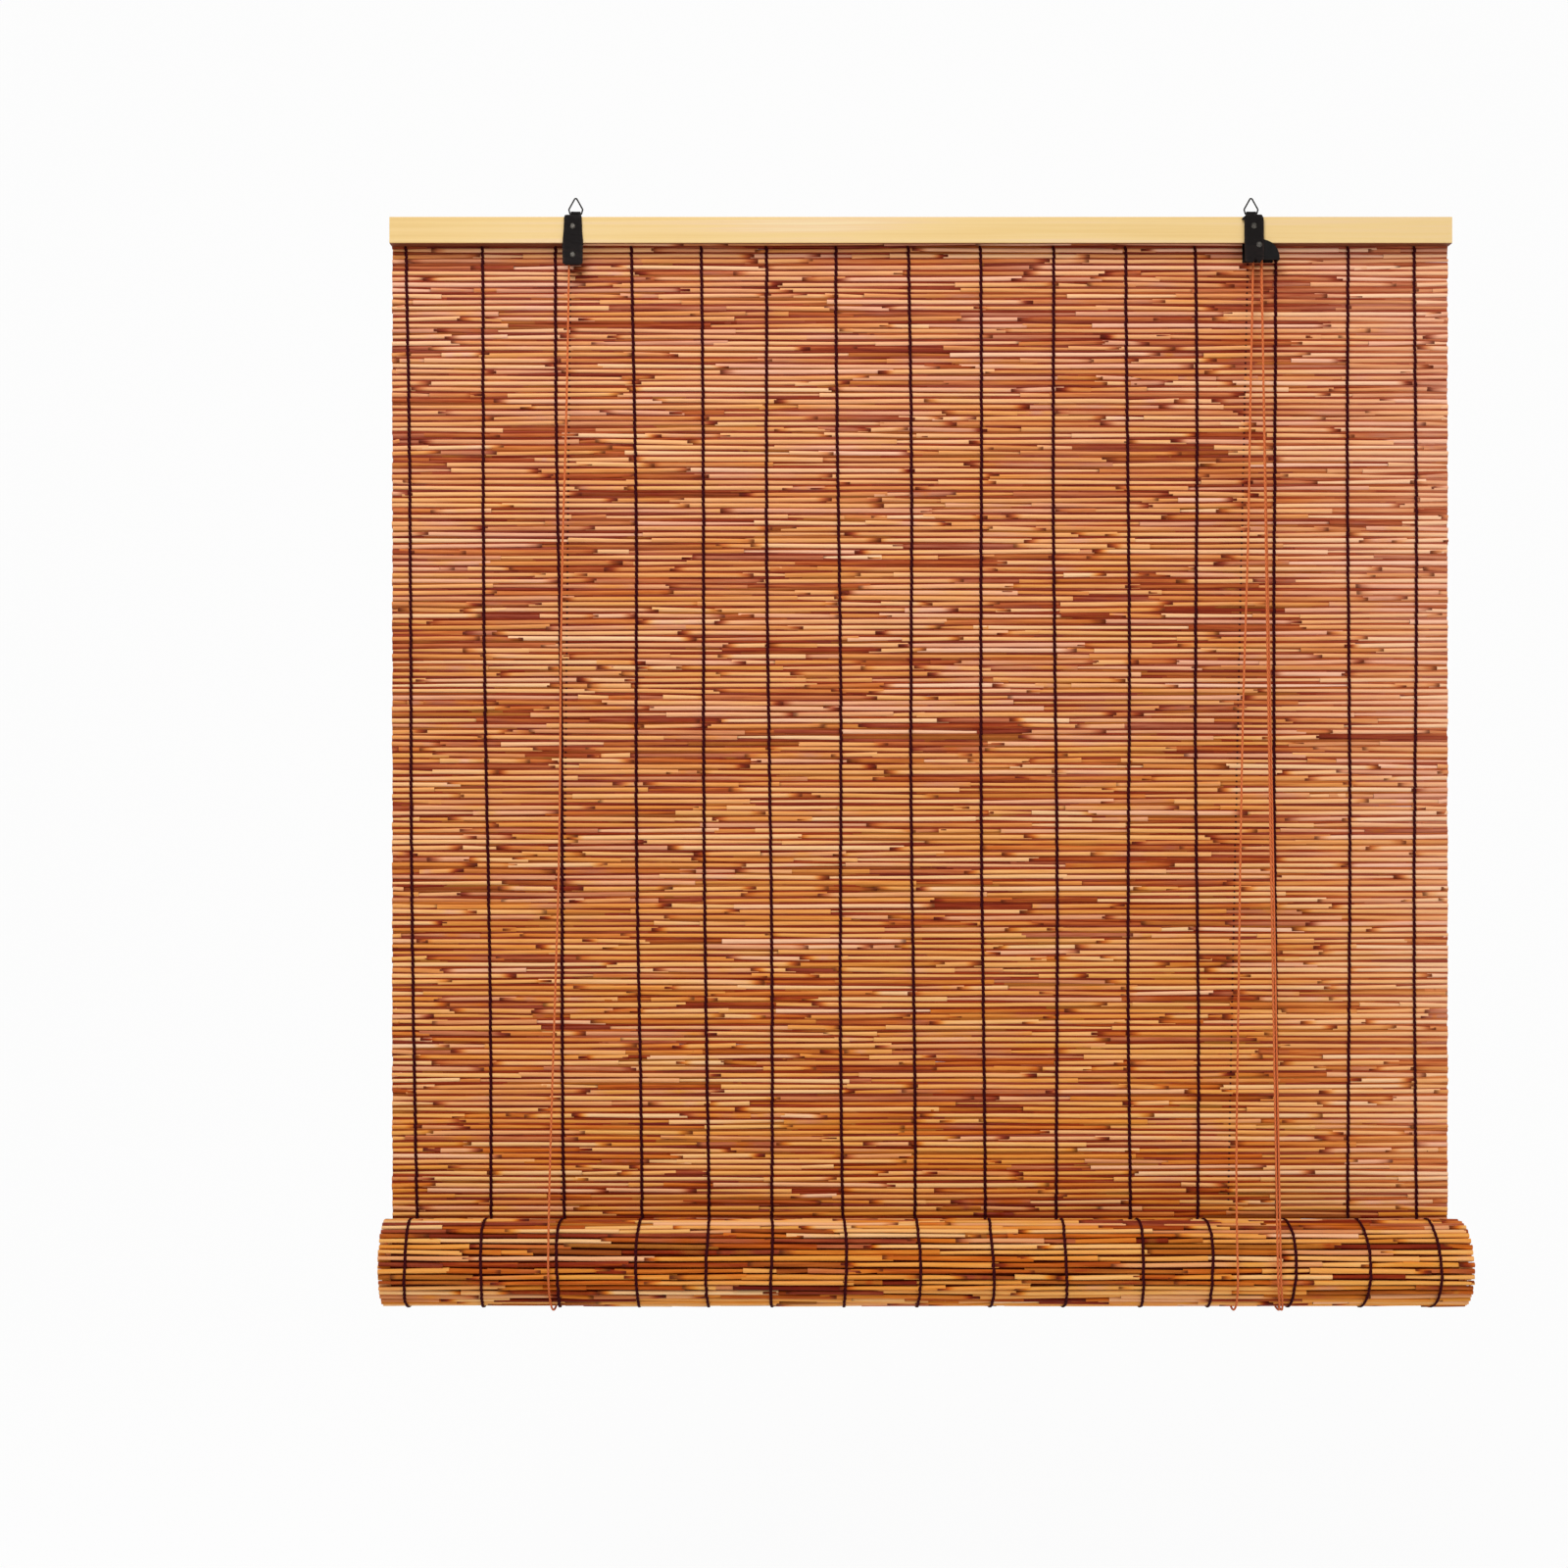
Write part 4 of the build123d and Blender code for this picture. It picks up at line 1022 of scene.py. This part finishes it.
class BLIND_OT_reed_mat(bpy.types.Operator):
    """Makes the hanging mat: rows of stained reeds, with thin reeds behind their joints"""

    bl_idname = "blind.reed_mat"
    bl_label = "Reed mat"

    thin_back = 0.0006  # how far the thin reeds lie behind the mat's middle
    thin_radius = 0.0023
    thin_painted_shade = 0.35  # share of their tone that the thin reeds keep, as painted shade in the joints between rows
    unevenness = 0.08  # of the rows' heights, in pitches
    ragged = 0.0009  # how far rows stop short of the mat's edges

    def execute(self, context):
        settings = context.scene.blind.reeds
        source = random.Random(settings.seed)
        count, pitch, in_head = mat_rows(settings.pitch)
        rows = []
        for index in range(count):
            stray = source.uniform(-self.unevenness, self.unevenness)
            z = mat_high.z - (index + 0.5) * pitch + stray * pitch
            low = mat_low.x + source.uniform(0.0, self.ragged)
            high = mat_high.x - source.uniform(0.0, self.ragged)
            rows.append((0.0, z, -1.0, 0.0, low, high, False))
        thin = [
            (self.thin_back, row[1] - pitch / 2, 0.0, 0.0, row[4], row[5], True)
            for row in rows[in_head - 1 : -1]
        ]
        half = in_head + (count - in_head) // 2
        for name, stretch in (
            ("in_head", rows[:in_head]),
            ("upper", rows[in_head:half]),
            ("lower", rows[half:]),
        ):
            reeds = reed_pieces(stretch, settings, source, settings.dark_share)
            mesh = grow_reeds(reeds, settings)
            piece = place(f"mat_reeds_{name}", mesh, "head", "reed_mat")
            if name != "in_head":
                squash_with_roll(piece)
        # Thin reeds close the slits between the rows from behind
        seed_mesh = reed_pieces(thin, settings, source, 1.0)
        for item in seed_mesh.attributes["thickness"].data:
            item.value = self.thin_radius
        # Their tones are cut down: painted shade in the joints between the rows
        for name in ("tone", "tip_tone"):
            for item in seed_mesh.attributes[name].data:
                item.value *= self.thin_painted_shade
        mesh = grow_reeds(seed_mesh, settings, points=4, sides=6, bend=0.3)
        piece = place("mat_reeds_between", mesh, "head", "reed_mat")
        squash_with_roll(piece)
        return {"FINISHED"}


class BLIND_OT_roll(bpy.types.Operator):
    """Makes the rolled part of the mat: its outer turn, and the ends of the inner turns"""

    bl_idname = "blind.roll"
    bl_label = "Roll"

    stub = 0.024  # how long the ends of the inner reeds are
    core_gap = 0.012  # from the roll's ends in to the core, which is painted dark as shade
    core_depth = 1.35  # of the core below the crests, in turns
    slip = 0.0012  # how far the turns have slipped along the rod
    slip_jitter = 0.00025
    darkening = 2.8  # the roll has more dark reeds than the mat has
    dark_tone = 0.24  # and on its outside they are darker and redder

    def execute(self, context):
        settings = context.scene.blind.reeds
        source = random.Random(settings.seed + 1)
        centre_inset = mat_thickness / 2
        angle = settings.pitch / roll_radius
        outer = []
        inner = []
        while turn_crest(angle) - mat_thickness > rod_radius:
            radius = turn_crest(angle) - centre_inset
            y, z = on_roll(angle, radius)
            out_y, out_z = math.cos(angle), -math.sin(angle)
            jitter = source.uniform(-self.slip_jitter, self.slip_jitter)
            slip = self.slip * math.sin(angle * 0.7) + jitter
            low = mat_low.x + slip
            high = mat_high.x + slip
            if angle < 2 * math.pi:
                outer.append((y, z, out_y, out_z, low, high, False))
            else:
                inner.append((y, z, out_y, out_z, low, low + self.stub, True))
                inner.append((y, z, out_y, out_z, high - self.stub, high, True))
            angle += settings.pitch / radius
        dark_share = settings.dark_share * self.darkening
        skin = reed_pieces(outer, settings, source, dark_share, self.dark_tone)
        place("roll_reeds", grow_reeds(skin, settings), "roll", "reed_roll")
        ends = reed_pieces(inner, settings, source, dark_share)
        place("roll_reed_ends", grow_reeds(ends, settings, points=2), "roll", "reed_roll")
        place("roll_core_in_painted_shade", self.core(), "roll", "reed_roll")
        return {"FINISHED"}

    def core(self):
        """The inner turns, painted dark as shade, seen only between the outer reeds and at the
        ends.
        """
        radius = roll_radius - self.core_depth * turn_pitch
        turned = Matrix.Rotation(math.pi / 2, 4, "Y")
        made = bmesh.new()
        bmesh.ops.create_cone(
            made,
            cap_ends=True,
            segments=40,
            radius1=radius,
            radius2=radius,
            depth=mat_width - 2 * self.core_gap,
            matrix=Matrix.Translation((0.0, roll_y, roll_z)) @ turned,
        )
        mesh = bpy.data.meshes.new("roll_core_in_painted_shade")
        made.to_mesh(mesh)
        made.free()
        mesh.materials.append(painted_shade_reed())
        return mesh


class BLIND_OT_warp_threads(bpy.types.Operator):
    """Makes the warp threads: pairs twined round every reed, on the mat's two faces and the roll"""

    bl_idname = "blind.warp_threads"
    bl_label = "Warp threads"

    left_margin = 0.0188
    right_margin = 0.0313
    lean = 0.0105  # of the leftmost thread, from its top to its foot
    # How far each thread stands to the right of its even place, in millimetres
    shifts = (0, 3.1, 5.3, 9.8, 5.9, -0.7, -1.7, -1.4, -2.9, -1.3, 0, -3.4, 3.0, 4.8, 0)
    drift = 0.0011  # how far a thread wanders sideways
    slant = 0.22  # of a stitch, in radians
    jitter = 0.0003  # of each stitch to either side
    stand_off = 0.22  # of a stitch's middle from the reeds' crests, in stitch heights
    stitch_length = 1.35  # in pitches
    roll_stitch_length = 1.5
    roll_drift = 0.0009
    roll_gap = 0.1  # left free where the turn ends, in radians

    def thread_x(self, count, index, share):
        """Where a thread stands, share 0 at its top and 1 at its foot."""
        step = (mat_width - self.left_margin - self.right_margin) / (count - 1)
        lean = self.lean * (1 - index / (count - 1)) * (share - 0.5)
        shift = self.shifts[index % len(self.shifts)] * 0.001
        wander = self.drift * math.sin(share * (7 + index % 4) + index * 1.7)
        return mat_low.x + self.left_margin + index * step + shift + lean + wander

    def stitches(self, name, points, turns, pitches, body):
        """One piece of stitches of a length in pitches, each at a point and turned."""
        blind = bpy.context.scene.blind
        threads = blind.threads
        pitch = mat_rows(blind.reeds.pitch)[1]
        sizes = {"Width": threads.width, "Height": threads.height, "Length": pitch * pitches}
        replaced = "roll_threads" if body == "roll" else "warp_threads"
        return stitch_piece(name, points, turns, sizes, body, replaced)

    def execute(self, context):
        blind = context.scene.blind
        count = blind.threads.count
        rows, pitch, first = mat_rows(blind.reeds.pitch)
        stand_off = blind.threads.height * self.stand_off
        source = random.Random(blind.reeds.seed + 2)
        for name, side in (("front", -1), ("back", 1)):
            points = []
            turns = []
            for index in range(count):
                for row in range(first, rows):
                    z = mat_high.z - (row + 0.5) * pitch
                    fallen = (batten_low.z - z) / (batten_low.z - mat_low.z)
                    x = self.thread_x(count, index, fallen) + source.uniform(-1, 1) * self.jitter
                    points.append((x, side * (mat_thickness / 2 + stand_off), z))
                    turns.append((0.0, self.slant * side, 0.0))
            name = f"warp_threads_{name}"
            piece = self.stitches(name, points, turns, self.stitch_length, "head")
            squash_with_roll(piece)
        points = []
        turns = []
        angle = pitch / roll_radius
        while angle < 2 * math.pi - self.roll_gap:
            radius = turn_crest(angle)
            y, z = on_roll(angle, radius + stand_off)
            for index in range(count):
                wander = self.roll_drift * math.sin(angle * 2.3 + index)
                x = self.thread_x(count, index, 1.0) + source.uniform(-1, 1) * self.jitter
                points.append((x + wander, y, z))
                turns.append((-angle, 0.0, 0.0))
            angle += pitch / (radius - mat_thickness / 2)
        self.stitches("roll_warp_threads", points, turns, self.roll_stitch_length, "roll")
        return {"FINISHED"}


class BLIND_OT_straps(bpy.types.Operator):
    """Makes the two leather straps, each one strip folded over the head and round its ring"""

    bl_idname = "blind.straps"
    bl_label = "Straps"

    thickness = 0.0018
    rounding = 0.0004
    across = 18  # faces from side to side
    left_x = -0.3274
    right_x = 0.3132
    ring_wire = 0.0015
    loop = 0.00165  # radius of the fold round the ring
    layer_y = 0.00105  # of the two layers that lie together in the neck
    neck = 0.0045  # half its width
    neck_rise = 0.003  # height in which the shoulders narrow to the neck
    back_length = 0.024
    corner_cut = 0.0064
    notch_width = 0.0015
    notch_height = 0.0026
    wave = 0.00022  # depth of the waves in the leather

    def section(self, low, heights, ring_z, front_y):
        """The line that a strap follows in its section, from its front foot to its back foot.

        heights are the places where its width changes, which get points of their own.
        """
        half = self.thickness / 2
        top = batten_high.z + half
        front = front_y + half
        back = strip_high.y + half
        shoulder = batten_high.z - 0.0008
        steps = 16
        even = [low.z + (shoulder - low.z) * index / steps for index in range(steps + 1)]
        line = [(front, z) for z in sorted({*even, *(z for z in heights if low.z < z < shoulder)})]
        # Back over the shoulder, up the neck and round the ring, then down the same way behind
        line += [(front + 0.0006, top - 0.0002), (front + 0.0022, top + 0.0003)]
        line += [(-0.0042, top + 0.0004), (-0.0019, top + 0.0009), (-self.layer_y, top + 0.0022)]
        line.append((-self.layer_y, ring_z - 0.0022))
        for index in range(9):
            angle = math.radians(225 - 270 * index / 8)
            line.append((self.loop * math.cos(angle), ring_z + self.loop * math.sin(angle)))
        line += [(self.layer_y, ring_z - 0.0022), (self.layer_y, top + 0.0022)]
        line += [(0.0019, top + 0.0009), (0.0036, top + 0.0004)]
        line += [(back - 0.0018, top + 0.0003), (back - 0.0003, top - 0.0004)]
        back_top = batten_high.z - 0.0016
        back_foot = batten_high.z - self.back_length
        for index in range(8):
            share = index / 7
            line.append((back, back_top * (1 - share) + back_foot * share))
        return line

    def edges(self, widths, z, ring_x):
        """A strap's left and right edge at a height."""
        left, right = widths[0][1:] if z < widths[0][0] else widths[-1][1:]
        for (z0, l0, r0), (z1, l1, r1) in zip(widths, widths[1:]):
            if z0 <= z <= z1:
                share = (z - z0) / (z1 - z0)
                left = l0 + (l1 - l0) * share
                right = r0 + (r1 - r0) * share
        share = min(1.0, max(0.0, (z - batten_high.z) / self.neck_rise))
        share = share * share * (3 - 2 * share)
        left += (ring_x - self.neck - left) * share
        right += (ring_x + self.neck - right) * share
        return left, right

    def strap(self, name, node, ring, widths, front_y, notches=()):
        """One strap. widths are (height, left, right) from the foot up. Its neck is at the ring.

        notches are the places along X where cords come out of its foot.
        """
        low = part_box(node)[0]
        ring_low, ring_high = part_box(ring)
        ring_x = (ring_low.x + ring_high.x) / 2
        ring_z = ring_low.z + self.ring_wire / 2
        made = bmesh.new()
        rub = made.verts.layers.float.new("rub")
        rows = []
        for y, z in self.section(low, [height for height, _, _ in widths], ring_z, front_y):
            left, right = self.edges(widths, z, ring_x)
            row = []
            for index in range(self.across + 1):
                share = index / self.across
                x = left + (right - left) * share
                outward = abs(share - 0.5) * 2
                lift = 0.0
                if y < 0 and z < low.z + 0.0005:
                    lift = self.corner_cut * max(0.0, outward - 0.75)
                    if any(abs(x - notch) < self.notch_width for notch in notches):
                        lift = self.notch_height
                # The waves are 7 mm long and lie aslant
                wave = self.wave * math.sin(z * 900 + share * 5) * math.sin(share * math.pi)
                vertex = made.verts.new((x, y - wave, z + lift))
                # Hands and cords rub the edges and the foot
                lower = min(1.0, max(0.0, (batten_low.z + 0.004 - vertex.co.z) / 0.01))
                vertex[rub] = 0.35 + 0.65 * max(0.0, outward - 0.7) / 0.3 + 0.35 * lower
                row.append(vertex)
            rows.append(row)
        for first, second in zip(rows, rows[1:]):
            for index in range(self.across):
                made.faces.new((first[index], first[index + 1], second[index + 1], second[index]))
        bmesh.ops.recalc_face_normals(made, faces=made.faces)
        mesh = bpy.data.meshes.new(name)
        made.to_mesh(mesh)
        made.free()
        mesh.materials.append(worn_leather())
        mesh.shade_smooth()
        piece = place(name, mesh, "head", node)
        wall = piece.modifiers.new("wall", "SOLIDIFY")
        wall.thickness = self.thickness
        wall.offset = 0.0
        rounding = piece.modifiers.new("rounding", "BEVEL")
        rounding.width = self.rounding
        rounding.segments = 2
        rounding.limit_method = "ANGLE"

    def execute(self, context):
        # Heights, and how far the edges are to the left and right of the strap's middle
        batten = batten_high.z
        left = (
            (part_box("left_strap")[0].z, -0.0094, 0.0092),
            (batten_low.z - 0.004, -0.0098, 0.0096),
            (batten_low.z + 0.001, -0.0095, 0.0097),
            (batten_low.z + 0.012, -0.0086, 0.0088),
            (batten, -0.0080, 0.0084),
        )
        right = (
            (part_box("right_strap")[0].z, -0.0083, 0.0091),
            (batten_low.z, -0.0091, 0.0091),
            (batten - 0.006, -0.0091, 0.0089),
            (batten - 0.0034, -0.0092, 0.0089),
            (batten - 0.0032, -0.0116, 0.0088),
            (batten - 0.0014, -0.0106, 0.0086),
            (batten, -0.0082, 0.0076),
        )
        notches = (RIGHT_LIFT_HEAD[0][0], RIGHT_LIFT_HEAD[1][0])
        for side, x, offsets, front, cuts in (
            ("left", self.left_x, left, batten_low.y, ()),
            ("right", self.right_x, right, housing_low.y, notches),
        ):
            widths = [(z, x + west, x + east) for z, west, east in offsets]
            names = (f"{side}_strap_leather", f"{side}_strap", f"{side}_ring")
            self.strap(*names, widths, front - self.thickness, cuts)
        return {"FINISHED"}


class BLIND_OT_finishes(bpy.types.Operator):
    """Finishes the pieces that keep the CAD's shape: the woodwork, rings, rivets and the lock"""

    bl_idname = "blind.finishes"
    bl_label = "Woodwork and metalwork"

    def execute(self, context):
        rod = waxed_hardwood("plain_rod_wood", "#C79A62", "#9A6C3C")
        knob = waxed_hardwood("dark_waxed_beech", "#4A2A1E", "#24120D")
        plated = ("strip_staples", "strap_rivets", "left_axle", "lock_axle", "left_roller")
        plated += ("lock_roller", "cord_peg", "lock_cam", "jam_post")
        for material, nodes in (
            (planed_pine(), ("head_batten", "backing_strip")),
            (rod, ("foot_rod",)),
            (knob, ("pull_knob",)),
            (blackened_wire(), ("left_ring", "right_ring")),
            (zinc_steel(), plated),
            (baked_enamel(), ("pulley_plate", "lock_housing", "cam_pin")),
        ):
            for name in nodes:
                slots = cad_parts[name].data.materials
                slots.clear()
                slots.append(material)
        return {"FINISHED"}


class BLIND_OT_stage(bpy.types.Operator):
    """Makes the white sweep behind and below the blind, and the soft studio light"""

    bl_idname = "blind.stage"
    bl_label = "Stage"

    # The sweep is a floor that bends up into a wall
    reach = 7.0
    front_y = -6.0
    bend_y = 1.6
    bend_radius = 0.9
    height = 6.0
    # Each lamp's size and place, and the place that both point at
    key_lamp = (1.4, (-0.7, -1.8, 1.7))
    fill_lamp = (1.8, (1.9, -2.2, -0.3))
    aim = Vector((0.0, 0.0, -0.5))

    def area(self, context, name, energy, size, position):
        """One soft lamp."""
        lamp = bpy.data.lights.new(name, "AREA")
        lamp.energy = energy
        lamp.size = size
        holder = bpy.data.objects.new(name, lamp)
        holder.location = position
        direction = self.aim - Vector(position)
        holder.rotation_euler = direction.to_track_quat("-Z", "Y").to_euler()
        context.scene.collection.objects.link(holder)

    def execute(self, context):
        settings = context.scene.blind.stage
        floor = roll_z - roll_radius - settings.floor_gap
        profile = [(self.front_y, floor), (self.bend_y, floor)]
        for index in range(1, 9):
            angle = math.pi / 2 * index / 8
            y = self.bend_y + self.bend_radius * math.sin(angle)
            profile.append((y, floor + self.bend_radius * (1 - math.cos(angle))))
        profile.append((self.bend_y + self.bend_radius, floor + self.height))
        points = [(x, y, z) for y, z in profile for x in (-self.reach, self.reach)]
        faces = [(2 * i, 2 * i + 1, 2 * i + 3, 2 * i + 2) for i in range(len(profile) - 1)]
        mesh = bpy.data.meshes.new("sweep")
        mesh.from_pydata(points, [], faces)
        mesh.materials.append(pale_backdrop())
        mesh.shade_smooth()
        sweep = bpy.data.objects.new("sweep", mesh)
        context.scene.collection.objects.link(sweep)
        self.area(context, "key_light", settings.key_power, *self.key_lamp)
        self.area(context, "fill_light", settings.fill_power, *self.fill_lamp)
        world = bpy.data.worlds.new("room")
        world.use_nodes = True
        tree = world.node_tree
        tree.nodes.clear()
        inputs = {"Color": from_hex("#FFFFFF"), "Strength": settings.sky}
        sky = add_node(tree, "ShaderNodeBackground", inputs)
        add_node(tree, "ShaderNodeOutputWorld", {"Surface": sky.outputs["Background"]})
        context.scene.world = world
        context.scene.view_settings.view_transform = "Standard"
        return {"FINISHED"}


class BLIND_PT_panel(bpy.types.Panel):
    """Lists the blind's sizes and its pieces"""

    bl_label = "Reed roller blind"
    bl_idname = "BLIND_PT_panel"
    bl_space_type = "VIEW_3D"
    bl_region_type = "UI"
    bl_category = "Blind"

    def draw(self, context):
        settings = context.scene.blind
        for group in (settings.reeds, settings.threads, settings.cords, settings.stage):
            box = self.layout.box()
            for name in group.__annotations__:
                box.prop(group, name)
        for operator in OPERATORS:
            self.layout.operator(operator.bl_idname)


OPERATORS = (
    BLIND_OT_camera,
    BLIND_OT_lift_cords,
    BLIND_OT_pull_cords,
    BLIND_OT_reed_mat,
    BLIND_OT_roll,
    BLIND_OT_warp_threads,
    BLIND_OT_straps,
    BLIND_OT_finishes,
    BLIND_OT_stage,
)
CLASSES = (
    ReedSettings,
    ThreadSettings,
    CordSettings,
    StageSettings,
    BlindSettings,
    *OPERATORS,
    BLIND_PT_panel,
)


def register():
    for cls in CLASSES:
        bpy.utils.register_class(cls)
    bpy.types.Scene.blind = bpy.props.PointerProperty(type=BlindSettings)


def unregister():
    del bpy.types.Scene.blind
    for cls in reversed(CLASSES):
        bpy.utils.unregister_class(cls)


def main():
    register()
    for operator in OPERATORS:
        group, name = operator.bl_idname.split(".")
        getattr(getattr(bpy.ops, group), name)()


if __name__ == "__main__":
    main()
